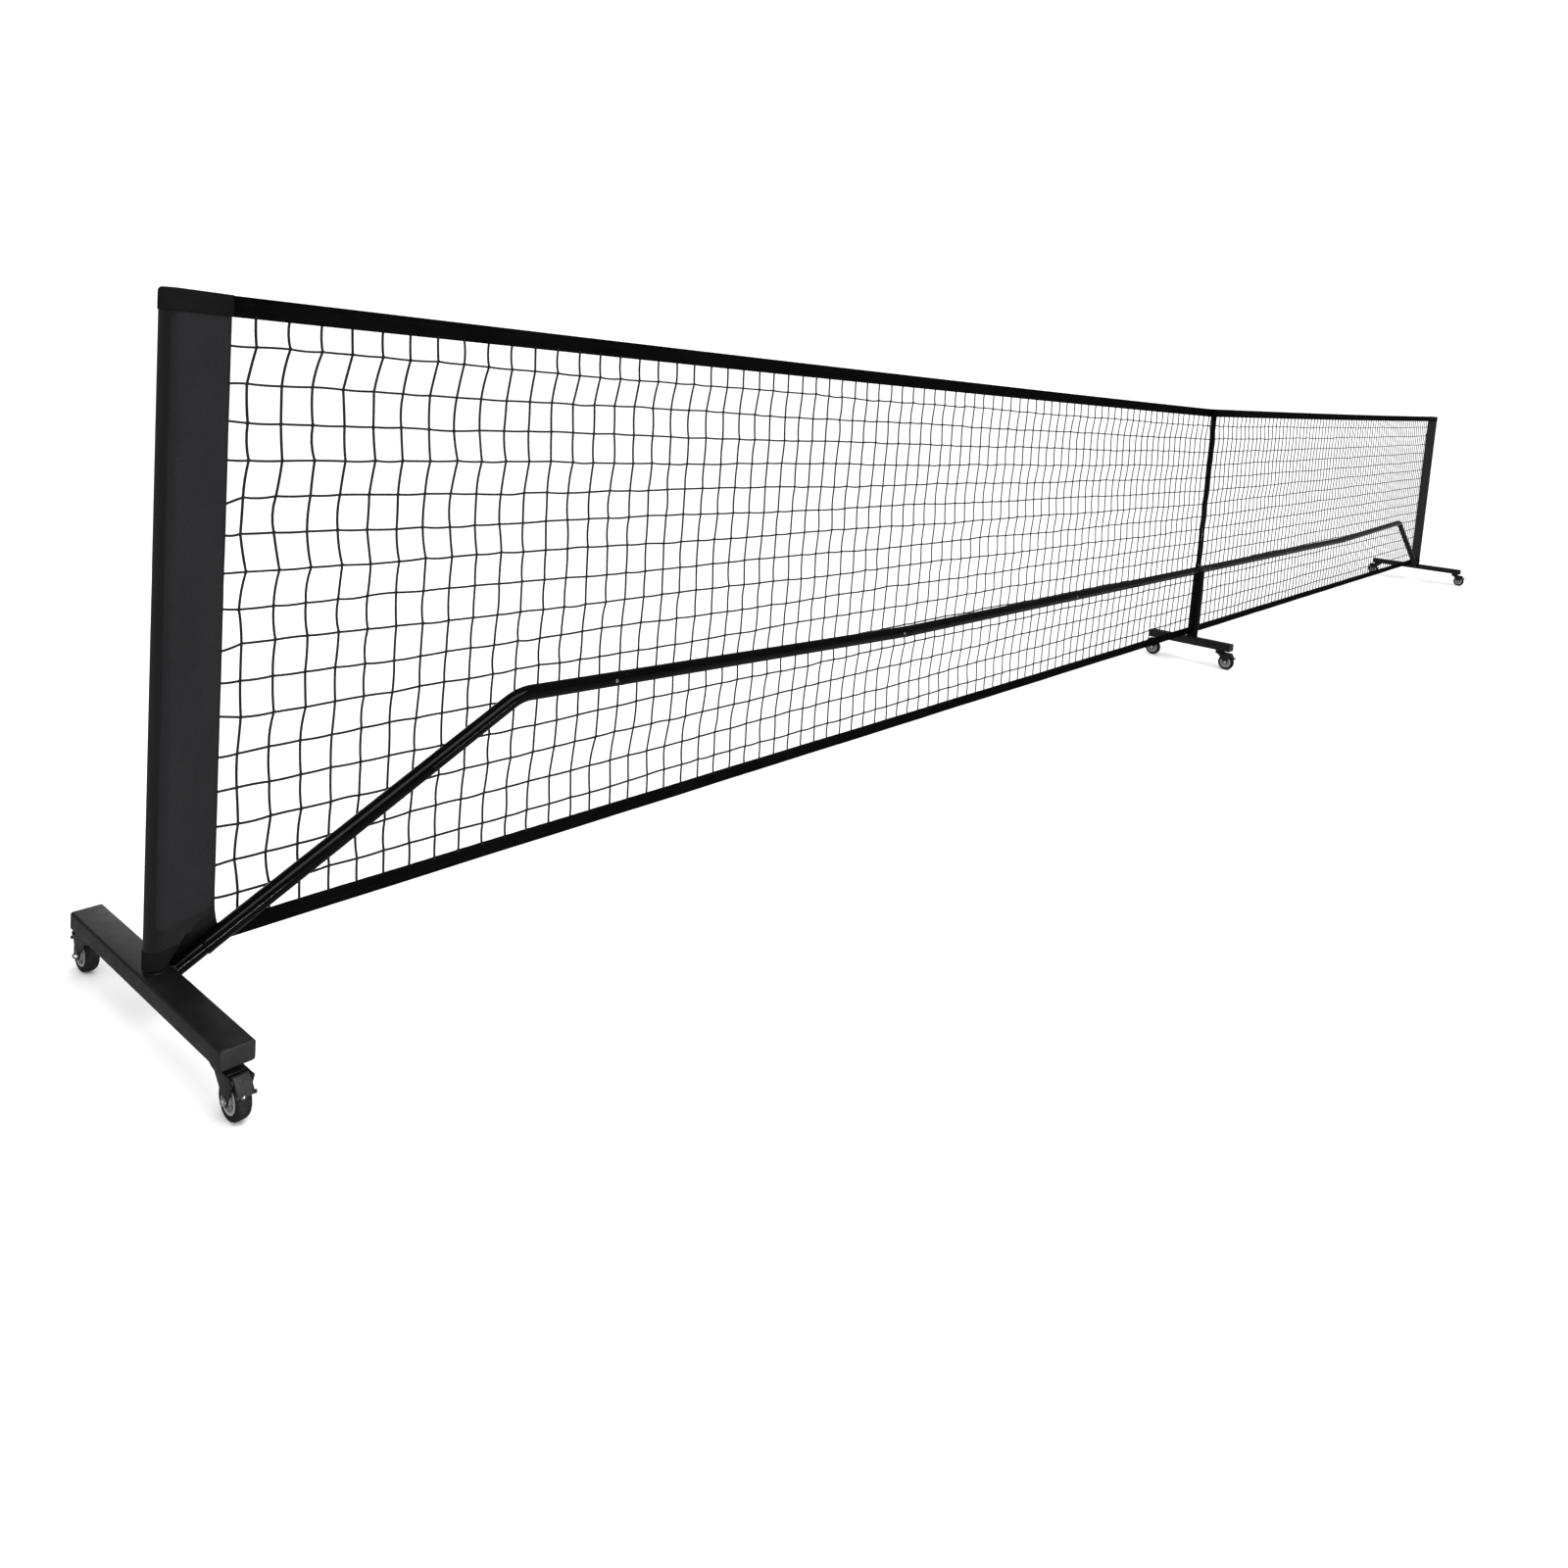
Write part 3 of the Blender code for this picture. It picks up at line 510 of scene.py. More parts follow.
def foot(name, x, length, node):
    """Rounded rectangular tube, with a pressed-in plastic cap at each end."""
    half_width, half_height = FOOT_WIDTH / 2, (FOOT_TOP - FOOT_BOTTOM) / 2
    middle = (FOOT_TOP + FOOT_BOTTOM) / 2
    corner, wall, flange = 0.0032, 0.0015, 0.0030
    half = length / 2 - flange

    def section(y, inset):
        outline = rounded_rectangle(half_width - inset, half_height - inset, max(corner - inset, 0.0008))
        return [(x + px, y, middle + pz) for px, pz in outline]

    ease = 0.0003
    outside = [section(-half, ease), section(-half + ease, 0)]
    outside += [section(y, 0) for y in np.linspace(-half + 0.01, half - 0.01, 9)]
    outside += [section(half - ease, 0), section(half, ease)]
    tube = loft(name, outside + [section(half, wall), section(-half, wall)], loop=True)
    piece(name, tube, "foot_paint", "foot_paint", [node])
    for end, direction in (("front", -1), ("back", 1)):
        steps = [(-0.012, wall + 0.0002), (-0.0002, wall + 0.0002), (0.0002, 0.0004), (0.0007, 0.0)]
        steps += [(flange - 0.0009, 0.0), (flange - 0.0004, 0.0002), (flange - 0.0001, 0.0006)]
        steps += [(flange, 0.0012), (flange, 0.0035)]
        rings = [section(direction * (half + out), inset) for out, inset in steps]
        cap = loft(f"{name}_{end}_cap", rings, caps=True)
        piece(f"{name}_{end}_cap", cap, "cap_plastic", "foot_paint")


def bead(name, path, radius):
    """A weld bead: a rippled rope of metal along a closed path."""
    path = np.asarray(path, float)
    tangents = np.roll(path, -1, axis=0) - np.roll(path, 1, axis=0)
    tangents /= np.linalg.norm(tangents, axis=1, keepdims=True)
    side = np.cross(tangents, (0.35, 0.2, 0.9))
    side /= np.linalg.norm(side, axis=1, keepdims=True)
    up = np.cross(tangents, side)
    angles = circle_angles(8)[None, :, None]
    ripple = radius * (1 + 0.16 * np.sin(np.arange(len(path)) * 1.9))
    circle = np.cos(angles) * side[:, None, :] + np.sin(angles) * up[:, None, :]
    mesh = loft(name, path[:, None, :] + ripple[:, None, None] * circle, loop=True)
    piece(name, mesh, "foot_paint", "foot_paint")


def stub_weld_path(side):
    """Where the slanted stub first meets the foot's inner side or its top."""
    edge_station = FOOT_WIDTH / 2
    path = []
    for angle in circle_angles(64):
        y = STUB_RADIUS * math.sin(angle)
        # a line on the stub's skin lies this far above its axis
        rise = STUB_RADIUS * math.cos(angle) / math.cos(DIAGONAL)
        z = diagonal_z(edge_station) + rise
        if z <= FOOT_TOP:
            path.append(at(side, edge_station + 0.0003, y, z))
        else:
            station = BEND_STATION + (FOOT_TOP - rise - BEND_Z) / math.tan(DIAGONAL)
            path.append(at(side, station, y, FOOT_TOP + 0.0003))
    return path


def tube_along(name, side, route):
    """A tube of the arch through (station, z, radius) points."""
    points = [at(side, station, 0, z) for station, z, _ in route]
    return pipe(name, points, [radius for _, _, radius in route], TUBE_WALL)


def end_foot(side_name, side):
    x = side * HALF_SPAN
    low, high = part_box(f"{side_name}_base")
    foot(f"{side_name}_foot", x, high.y - low.y, f"{side_name}_base")
    step = math.cos(DIAGONAL)
    neck = COLLAR_STATION - GAP * step
    profile = [(0.0145, STUB_RADIUS), (0.030, STUB_RADIUS), (neck - 0.0030, STUB_RADIUS)]
    profile += [(neck - 0.0022, STUB_RADIUS - 0.0001), (neck - 0.0006, PLUG_RADIUS + 0.0001)]
    profile += [(neck + 0.001, PLUG_RADIUS), (COLLAR_STATION + PLUG_LENGTH * step, PLUG_RADIUS)]
    stub = tube_along(f"{side_name}_stub", side, [(s, diagonal_z(s), r) for s, r in profile])
    piece(f"{side_name}_stub", stub, "tube_paint", "foot_paint", [f"{side_name}_base"])
    bead(f"{side_name}_stub_weld", stub_weld_path(side), 0.0014)
    circle = [(x + POST_WELD_RADIUS * math.cos(a), POST_WELD_RADIUS * math.sin(a), FOOT_TOP + 0.0006)
              for a in circle_angles(60)]
    bead(f"{side_name}_post_weld", circle, 0.0012)
    top = END_POST_HIGH.z
    heights = [FOOT_TOP + GAP, FOOT_TOP + GAP + 0.0005, 0.3, 0.6, top - 0.0006, top]
    radii = [END_POST_RADIUS - 0.0004] + [END_POST_RADIUS] * 4 + [END_POST_RADIUS - 0.0005]
    post = pipe(f"{side_name}_end_post", [(x, 0, z) for z in heights], radii, END_POST_WALL)
    piece(f"{side_name}_end_post", post, "tube_paint", "tube_paint", [f"{side_name}_post"])


def button_cutter(side, station):
    z = arch_z(station)
    points = [at(side, station, y, z) for y in (-TUBE_RADIUS - 0.004, -0.006)]
    rings = tube_rings(points, [0.0040, 0.0040], 32, (1.0, 0.0, 0.0))
    return loft("cutter", rings, caps=True)


def socket_end(station, radius):
    """Rounded, slightly belled mouth of a tube whose end is at this station: (station, radius) pairs."""
    steps = [(-0.010, 0.0), (-0.006, 0.00025), (-0.0012, 0.00035), (-0.0004, 0.00025), (0.0, -0.0002)]
    return [(station + along, radius + swell) for along, swell in steps]


def elbow(side_name, side):
    name = f"{side_name}_elbow"
    slope_out = math.atan2(arch_z(JOINTS[0]) - BEND_Z, JOINTS[0] - BEND_STATION)
    tangent = BEND_RADIUS * math.tan((DIAGONAL - slope_out) / 2)
    start = (BEND_STATION - tangent * math.cos(DIAGONAL), BEND_Z - tangent * math.sin(DIAGONAL))
    center = (start[0] + BEND_RADIUS * math.sin(DIAGONAL), start[1] - BEND_RADIUS * math.cos(DIAGONAL))
    mouth = [(2 * COLLAR_STATION - s, r) for s, r in socket_end(COLLAR_STATION, TUBE_RADIUS)][::-1]
    route = [(s, diagonal_z(s), r) for s, r in mouth]
    bend = arc(center, BEND_RADIUS, 90 + math.degrees(DIAGONAL), 90 + math.degrees(slope_out), 20)
    # the wall thins by a hair round the outside of the bend, as it does in a pipe bender
    route += [(s, z, TUBE_RADIUS - 0.0002 * math.sin(math.pi * i / 20)) for i, (s, z) in enumerate(bend)]
    route += [(s, arch_z(s), r) for s, r in socket_end(JOINTS[0], TUBE_RADIUS)]
    mesh = cut(tube_along(name, side, route), [button_cutter(side, JOINTS[0] - BUTTON_SETBACK)])
    piece(name, mesh, "tube_paint", "tube_paint", [f"{side_name}_elbow_tube"])


def straight_tube(side_name, side, index):
    name = f"{side_name}_arch_{index + 1}"
    mouth, end = JOINTS[index], JOINTS[index + 1]
    route = [(mouth - PLUG_LENGTH, PLUG_RADIUS - 0.0004), (mouth - PLUG_LENGTH + 0.001, PLUG_RADIUS)]
    route += [(mouth - 0.0006, PLUG_RADIUS), (mouth + GAP, PLUG_RADIUS + 0.0002)]
    route += [(mouth + 0.0012, TUBE_RADIUS - 0.0003)]
    route += [(mouth + along, TUBE_RADIUS) for along in (0.0022, 0.01)]
    route += socket_end(end, TUBE_RADIUS)
    mesh = tube_along(name, side, [(s, arch_z(s), r) for s, r in route])
    mesh = cut(mesh, [button_cutter(side, s - BUTTON_SETBACK) for s in (mouth, end)])
    piece(name, mesh, "tube_paint", "tube_paint", [f"{side_name}_arch_tube_{index + 1}"])


def snap_buttons():
    """Domed steel pins, each pressed out of its tube by the leaf spring of the CAD button."""
    low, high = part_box("left_snap_button_2")
    radius = 0.0035
    depth = high.y - low.y
    dome = [(radius, -depth + 0.0005), (radius, -0.0016), (radius - 0.0003, -0.0009)]
    dome += [(radius - 0.0010, -0.0003), (radius - 0.0020, -0.00005), (radius - 0.0030, 0.0)]
    pin = solid_turned("button_pin", dome, 28)
    pin.transform(Matrix.Rotation(math.radians(90), 4, "X"))
    leaf_half = (high.x - low.x) / 2
    leaf = extruded("button_leaf", [(depth - 0.0008, -0.003), (depth, -0.003), (depth, 0.003),
                                    (depth - 0.0008, 0.003)], -leaf_half, leaf_half, 0.0002)
    whole = merged("snap_button_shape", [pin, leaf])
    for side_name, side in SIDES:
        for index, joint in enumerate(JOINTS):
            node = f"{side_name}_snap_button_{index + 1}"
            station = joint - BUTTON_SETBACK
            place = at(side, station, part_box(node)[0].y, arch_z(station))
            piece(f"{side_name}_button_{index + 1}", whole, "button_steel", "button_steel", [node], place,
                  body=node)


def flat_oval(width, depth, center_y, steps=12):
    radius, reach = width / 2, (depth - width) / 2
    back = arc((0, center_y + reach), radius, 0, 180, steps)
    front = arc((0, center_y - reach), radius, 180, 360, steps)
    return back + front


def lower_middle_post():
    """Flat-oval post with a plastic cap, and the tee that both halves of the arch plug into."""
    low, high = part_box("center_base")
    foot("center_foot", 0.0, high.y - low.y, "center_base")
    low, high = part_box("center_lower_post")
    bottom, top = low.z, CROWN_Z
    front, back = low.y, TUBE_RADIUS + GAP
    center_y = (front + back) / 2
    width, depth = 0.022, back - front

    def lofted(name, levels, **ends):
        rings = []
        for z, inset in levels:
            outline = flat_oval(width - 2 * inset, depth - 2 * inset, center_y)
            rings.append([(x, y, z) for x, y in outline])
        return loft(name, rings, **ends)

    levels = [(bottom, 0.0004), (bottom + 0.0005, 0), (top - 0.0005, 0), (top, 0.0004), (top, 0.0015)]
    shaft = lofted("center_post_shaft", levels + [(bottom, 0.0015)], loop=True)
    shoulder = HALF_SPAN - JOINTS[-1]
    half = [(0.0, TUBE_RADIUS), (shoulder - 0.0022, TUBE_RADIUS), (shoulder - 0.0012, TUBE_RADIUS - 0.0003)]
    half += [(shoulder - GAP, PLUG_RADIUS + 0.0002), (shoulder + 0.0006, PLUG_RADIUS), (high.x, PLUG_RADIUS)]
    run = [(-x, r) for x, r in half[:0:-1]] + half
    tee = pipe("center_tee", [(x, 0, CROWN_Z) for x, _ in run], [r for _, r in run], TUBE_WALL)
    tee = cut(tee, [button_cutter(side, JOINTS[-1] - BUTTON_SETBACK) for _, side in SIDES])
    levels = [(-0.004, 0.0018), (-0.0001, 0.0018), (0.0001, 0.0003), (0.0012, 0.0), (0.0022, 0.0004)]
    levels += [(0.0028, 0.0015), (0.0030, 0.0040)]
    cap = lofted("center_post_cap", [(top + rise, inset) for rise, inset in levels], caps=True)
    piece("center_post_shaft", shaft, "tube_paint", "tube_paint", ["center_lower_post"])
    piece("center_tee", tee, "tube_paint", "tube_paint", ["center_lower_post"])
    piece("center_post_cap", cap, "cap_plastic", "foot_paint")
    weld = [(x * 1.05, center_y + (y - center_y) * 1.03, FOOT_TOP + 0.0006)
            for x, y in flat_oval(width, depth, center_y, 24)]
    bead("center_post_weld", weld, 0.0011)


def upper_middle_post():
    """Thin round post under the net's middle, with a plastic ferrule round its foot."""
    low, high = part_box("center_upper_post")
    radius = high.x
    zs = [low.z, low.z + 0.0004, 0.5, 0.7, high.z - 0.0005, high.z]
    radii = [radius - 0.0004] + [radius] * 4 + [radius - 0.0005]
    upper = pipe("center_post_upper", [(0, 0, z) for z in zs], radii, TUBE_WALL)
    piece("center_post_upper", upper, "tube_paint", "tube_paint", ["center_upper_post"])
    ferrule = [(0.0002, 0.0), (0.0016, 0.0002), (0.0020, 0.0010), (0.0020, 0.0100), (0.0014, 0.0112)]
    ferrule = [(radius + out, z) for out, z in ferrule + [(0.0002, 0.0116)]]
    collar = turned("center_post_collar", ferrule, 40)
    piece("center_post_collar", collar, "cap_plastic", "tube_paint", location=(0, 0, low.z - 0.0008))


# ---------------- fabric


def sleeve_section(side, z, spread, shrink):
    """Outline of the sleeve at one height: round the post, then two layers that meet at the net.

    It flares a little towards its hem. spread moves it outwards, and shrink draws it in round the post.
    The front layer runs straight from the post to the inner edge. Below the slanted tube it lies back
    behind that, close round the post.
    """
    flare = 0.005 * math.exp(-max(z - BOTTOM_TAPE_TOP, 0) / 0.012)
    front, back = NET_Y - HALF_SEAM - spread, NET_Y + HALF_SEAM + spread
    end = SLEEVE_LENGTH + flare + spread
    radius = SLEEVE_RADIUS + spread - shrink
    slope = math.atan2(front, end) + math.asin(radius / math.hypot(end, front))
    leave = 270 + math.degrees(slope)
    hug = 360 + math.degrees(math.asin(min(front / radius, 0.98)))
    ring = arc((0, 0), radius, 90, leave, 28)
    straight_start = Vector(ring[-1])
    tip = Vector((end - HALF_SEAM, front))
    lying = arc((0, 0), radius, leave, hug, 10)[1:]
    lying += [tuple(Vector(lying[-1]).lerp(tip, i / 10)) for i in range(1, 11)]
    layer = []
    for i, laid in enumerate(lying):
        tight = straight_start.lerp(tip, (i + 1) / len(lying))
        above_tube = z - diagonal_z(tight.x) - TUBE_RADIUS / math.cos(DIAGONAL)
        layer.append(tuple(Vector(laid).lerp(tight, eased((above_tube - 0.002) / 0.018))))
    edge = arc((end - HALF_SEAM, NET_Y), HALF_SEAM + spread, -90, 90, 4)[1:]
    tail_back = [(end * t, back) for t in (0.9, 0.75, 0.55, 0.4, 0.25, 0.12)]
    return [(-side * x, y, z) for x, y in ring + layer + edge + tail_back]


def creased(points, side, seed):
    """Small slow folds. The top follows the net's top edge; the hem hangs past the side of the foot."""
    folded = []
    for x, y, z in points:
        station = max(-side * x, 0.0)
        tail = min(max((station - 0.016) / 0.03, 0.0), 1.0)
        wave = math.sin(z * 31 + seed + x * 60) * 0.5 + math.sin(z * 73 + 2 * seed - x * 90) * 0.3
        fall = (NET_TOP_END - net_top(HALF_SPAN - station)) * eased((z - 0.80) / 0.08)
        hem = 0.0036 * eased((station - 0.012) / 0.005) + 0.0054 * eased((station - 0.0206) / 0.002)
        hem *= eased((0.068 - station) / 0.02)
        hem *= eased((NET_BOTTOM + 0.030 - z) / 0.030)
        folded.append((x, y + 0.0004 * tail * wave, z - fall - hem))
    return folded


def sleeve(side_name, side):
    """Sewn pocket round the end post, closed over its top, with the tape carried across both ends."""
    name, place = f"{side_name}_side_sleeve", (side * HALF_SPAN, 0, 0)
    corner = 0.0045
    shoulder = NET_TOP_END - corner
    turns = [math.radians(90 * i / 5) for i in range(1, 6)]

    def rings_at(levels):
        return [creased(sleeve_section(side, *level), side, side) for level in levels]

    levels = [(z, 0.0, 0.0) for z in np.linspace(NET_BOTTOM, shoulder, 80)]
    levels += [(shoulder + corner * math.sin(t), 0.0, corner * (1 - math.cos(t))) for t in turns]
    rings = rings_at(levels)
    obj = piece(name, loft(name, rings, lid=True), f"sleeve_{side_name}", "sleeve_fabric",
                [f"{side_name}_sleeve"], place)
    thicken(obj, 0.0006)
    tapes = (("top", NET_TOP_END - TOP_TAPE_HEIGHT, shoulder, 0.0009),
             ("bottom", NET_BOTTOM - 0.0006, BOTTOM_TAPE_TOP, 0.0003))
    for label, low, high, last in tapes:
        zs = [low, low + 0.0006] + list(np.linspace(low + 0.003, high - 0.003, 5)) + [high - 0.0006, high]
        spreads = [0.0003, 0.0009] + [0.0010] * 5 + [0.0009, last]
        levels = [(z, spread, 0.0) for z, spread in zip(zs, spreads)]
        if label == "top":
            levels += [(high + (corner + 0.0006) * math.sin(t), 0.0009, corner * (1 - math.cos(t)))
                       for t in turns]
        band = loft(f"{name}_{label}_band", rings_at(levels), lid=label == "top")
        trim = piece(f"{name}_{label}_band", band, "sleeve_band", "tape_fabric", location=place)
        thicken(trim, 0.0007)
    sleeve_stitching(name, side, place)
    middle = rings[40]
    girth = float(np.linalg.norm(np.diff(middle, axis=0, append=middle[:1]), axis=1).sum())


def stitches(name, runs, length=0.0030, gap=0.0012, thickness=0.0004, location=(0, 0, 0)):
    """Rows of short thread loops. Each run is (start, end, outward), straight, in metres."""
    points, faces = [], []
    for start, end, outward in runs:
        start, end, outward = (np.asarray(v, float) for v in (start, end, outward))
        span = end - start
        distance = float(np.linalg.norm(span))
        along = span / distance
        across = np.cross(along, outward)
        count = int(distance / (length + gap))
        for i in range(count):
            middle = start + along * ((i + 0.5) * (length + gap))
            first = len(points)
            ends = (-length / 2, length / 2)
            points += [middle + along * ends[0], middle + along * ends[1]]
            for t in (-0.22, 0.22):
                base = middle + along * (t * length)
                points += [base + across * thickness / 2, base + outward * thickness * 0.6,
                           base - across * thickness / 2, base - outward * thickness * 0.5]
            a, b = first + 2, first + 6
            for j in range(4):
                k = (j + 1) % 4
                faces.append((a + j, a + k, b + k, b + j))
                faces.append((first, a + k, a + j))
                faces.append((first + 1, b + j, b + k))
    return piece(name, make_mesh(name, points, faces), "thread", "tape_fabric", location=location)


def sleeve_stitching(name, side, place):
    """Rows of stitching down both edges of the panel, and round the tape at each end of the sleeve."""
    high, low = NET_TOP_END - TOP_TAPE_HEIGHT, BOTTOM_TAPE_TOP
    slope = math.atan2(NET_Y, SLEEVE_LENGTH) + math.asin(SLEEVE_RADIUS / SLEEVE_LENGTH)
    face = Vector((-side * math.sin(slope), -math.cos(slope), 0))
    runs = []

    def on_front(station, z, proud):
        touch = SLEEVE_RADIUS * Vector((math.sin(slope), -math.cos(slope)))
        y = touch.y + (station - touch.x) * math.tan(slope)
        return Vector((-side * station, y, z)) + face * proud

    for station in (0.0700, 0.0732):
        runs.append((on_front(station, 0.215, 0.0001), on_front(station, high - 0.003, 0.0001), face))
        start, end = [(-side * station, NET_Y + 0.0010, z) for z in (low + 0.006, high - 0.003)]
        runs.append((start, end, (0, 1, 0)))
    for z in (high + 0.003, high + TOP_TAPE_HEIGHT - 0.008):
        runs.append((on_front(0.010, z, 0.0011), on_front(0.072, z, 0.0011), face))
        back = NET_Y + 0.0021
        runs.append(((-side * 0.018, back, z), (-side * 0.074, back, z), (0, 1, 0)))
    for z in (low - 0.003, NET_BOTTOM + 0.003):
        for y, direction in ((NET_Y - 0.0020, -1), (NET_Y + 0.0020, 1)):
            runs.append(((-side * 0.018, y, z), (-side * 0.074, y, z), (0, direction, 0)))
    return stitches(f"{name}_stitching", runs, location=place)


def folded_tape(name, edge_of, height, fold_up, node, seed):
    """Webbing folded over the net's edge rope, with two rows of stitching on each face."""
    count = 340
    rope, lip = 0.0021, 0.0010
    direction = 1 if fold_up else -1
    profile = [(-lip, 0.0), (-lip - 0.0001, 0.004), (-lip, height * 0.45), (-lip, height - 0.0075)]
    profile += [(-rope * math.cos(a), height - rope - 0.0002 + rope * math.sin(a))
                for a in np.linspace(-0.75, math.pi / 2, 7)]
    profile = profile + [(-y, z) for y, z in profile[-2::-1]]
    rings = []
    for x in np.linspace(-TAPE_HALF_LENGTH, TAPE_HALF_LENGTH, count):
        edge = edge_of(x)
        sway = 0.0004 * math.sin(x * 9 + seed) + 0.0003 * math.sin(x * 23 + 2 * seed)
        ruck = 0.0003 * math.sin(x * 160 + seed)
        ring = []
        for y, z in profile:
            loose = 1 - z / height
            ring.append((x, NET_Y + y + sway + ruck * loose, edge - direction * (height - z)))
        rings.append(ring)
    rings = np.asarray(rings, float)
    sides = rings.shape[1]
    faces = []
    for ring in range(count - 1):
        a, b = ring * sides, (ring + 1) * sides
        faces += [(a + i, a + i + 1, b + i + 1, b + i) for i in range(sides - 1)]
    mesh = make_mesh(name, rings.reshape(-1, 3), faces)
    obj = piece(name, mesh, "tape", "tape_fabric", [node])
    thicken(obj, 0.0005, 0.0)
    runs = []
    xs = np.linspace(-TAPE_HALF_LENGTH + 0.004, TAPE_HALF_LENGTH - 0.004, 49)
    for face in (-1, 1):
        y = NET_Y + face * 0.0013
        for drop in (0.0085, height - 0.0025):
            seam_points = [(x, y, edge_of(x) - direction * drop) for x in xs]
            runs += [(start, end, (0, face, 0)) for start, end in zip(seam_points, seam_points[1:])]
    seam = stitches(f"{name}_stitching", runs, 0.0036, 0.0016)
    width = float(np.linalg.norm(np.diff(rings[0], axis=0), axis=1).sum())
    return obj, seam, round(width, 4)


def tapes():
    top, top_seam, top_width = folded_tape("net_top_tape", net_top, TOP_TAPE_HEIGHT, True, "top_tape", 1.0)
    pocket = center_pocket()
    bottom, bottom_seam, bottom_width = folded_tape(
        "net_bottom_tape", lambda x: NET_BOTTOM, BOTTOM_TAPE_TOP - NET_BOTTOM, False, "bottom_tape", 2.3
    )


def center_pocket():
    """Small fabric pocket sewn to the front of the top tape, closed over the middle post."""
    low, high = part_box("center_pocket")
    wing = high.x
    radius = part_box("center_upper_post")[1].x + 0.0012
    back = high.y
    rings = []
    steps = [(low.z, -0.0002), (low.z + 0.0004, 0.0)]
    steps += [(z, 0.0) for z in np.linspace(low.z + 0.003, high.z - 0.004, 6)]
    steps += [(high.z - 0.004 + 0.004 * math.sin(a), -0.004 * (1 - math.cos(a)))
              for a in np.linspace(0.3, math.pi / 2, 5)]
    for z, swell in steps:
        front = back - 0.0012
        reach = radius + swell
        meet = math.degrees(math.asin(min((front - 0.0002) / reach, 0.97)))
        outline = [(-wing, back), (-wing, front)] + [(-wing * t, front) for t in (0.8, 0.6, 0.4)]
        outline += arc((0, 0), reach, 180 - meet, 360 + meet, 36)
        outline += [(wing * t, front) for t in (0.4, 0.6, 0.8)] + [(wing, front), (wing, back)]
        rings.append([(x, y, z) for x, y in outline])
    mesh = loft("center_top_pocket", rings, lid=True)
    return thicken(piece("center_top_pocket", mesh, "tape", "tape_fabric", ["center_pocket"]), 0.0006)


# ---------------- netting


ROWS = 16
COLUMNS_PER_HALF = 76
FIRST_ROW_SHARE = 0.044
ROW_SHARE = 0.0609
CORD_RADIUS = 0.0017
LEAN_STEP = 0.0008
ROW_LEAN = (10, -5, -2, 2, -8, -8, 3, -8, 2, -3, -1, -5, 6, 3, 1, 9)  # sideways, in steps, top row first


def knot_grid(half_side, random):
    """Knot positions of one half, [row][column], with the slack and lean of a real net."""
    inner = HALF_SPAN - SLEEVE_LENGTH
    pitch = inner / COLUMNS_PER_HALF
    lean = random.normal(0, 1, (ROWS + 2, 12))
    grid = np.zeros((ROWS, COLUMNS_PER_HALF, 3))
    for row in range(ROWS):
        share = FIRST_ROW_SHARE + ROW_SHARE * row
        for column in range(COLUMNS_PER_HALF):
            station = SLEEVE_LENGTH + pitch * (column + 0.58)
            slow = np.interp(column / COLUMNS_PER_HALF * 11, range(12), lean[row])
            lean_here = LEAN_STEP * ROW_LEAN[row] * (0.55 + 0.45 * math.cos(column * 0.09 + row * 0.2))
            pulled = -0.0022 * max(row - 11, 0) * min(column / 12, 1)
            x = station + lean_here + pulled + 0.0014 * slow + random.normal(0, 0.0007)
            world_x = half_side * (HALF_SPAN - x)
            top = net_top(world_x) - TOP_TAPE_HEIGHT
            z = top - share * (top - BOTTOM_TAPE_TOP)
            z += 0.0012 * math.sin(column * 0.35 + row * 1.7) + random.normal(0, 0.0006)
            y = NET_Y + random.normal(0, 0.0003)
            grid[row][column] = (world_x, y, z)
    return grid


def bowed(points, bow, steps=4):
    """A line through knots, with each span bowed a little by the matching offset vector."""
    line = []
    for start, end, offset in zip(points, points[1:], bow):
        for i in range(steps):
            t = i / steps
            line.append(start * (1 - t) + end * t + offset * (4 * t * (1 - t)))
    line.append(points[-1])
    return np.asarray(line)


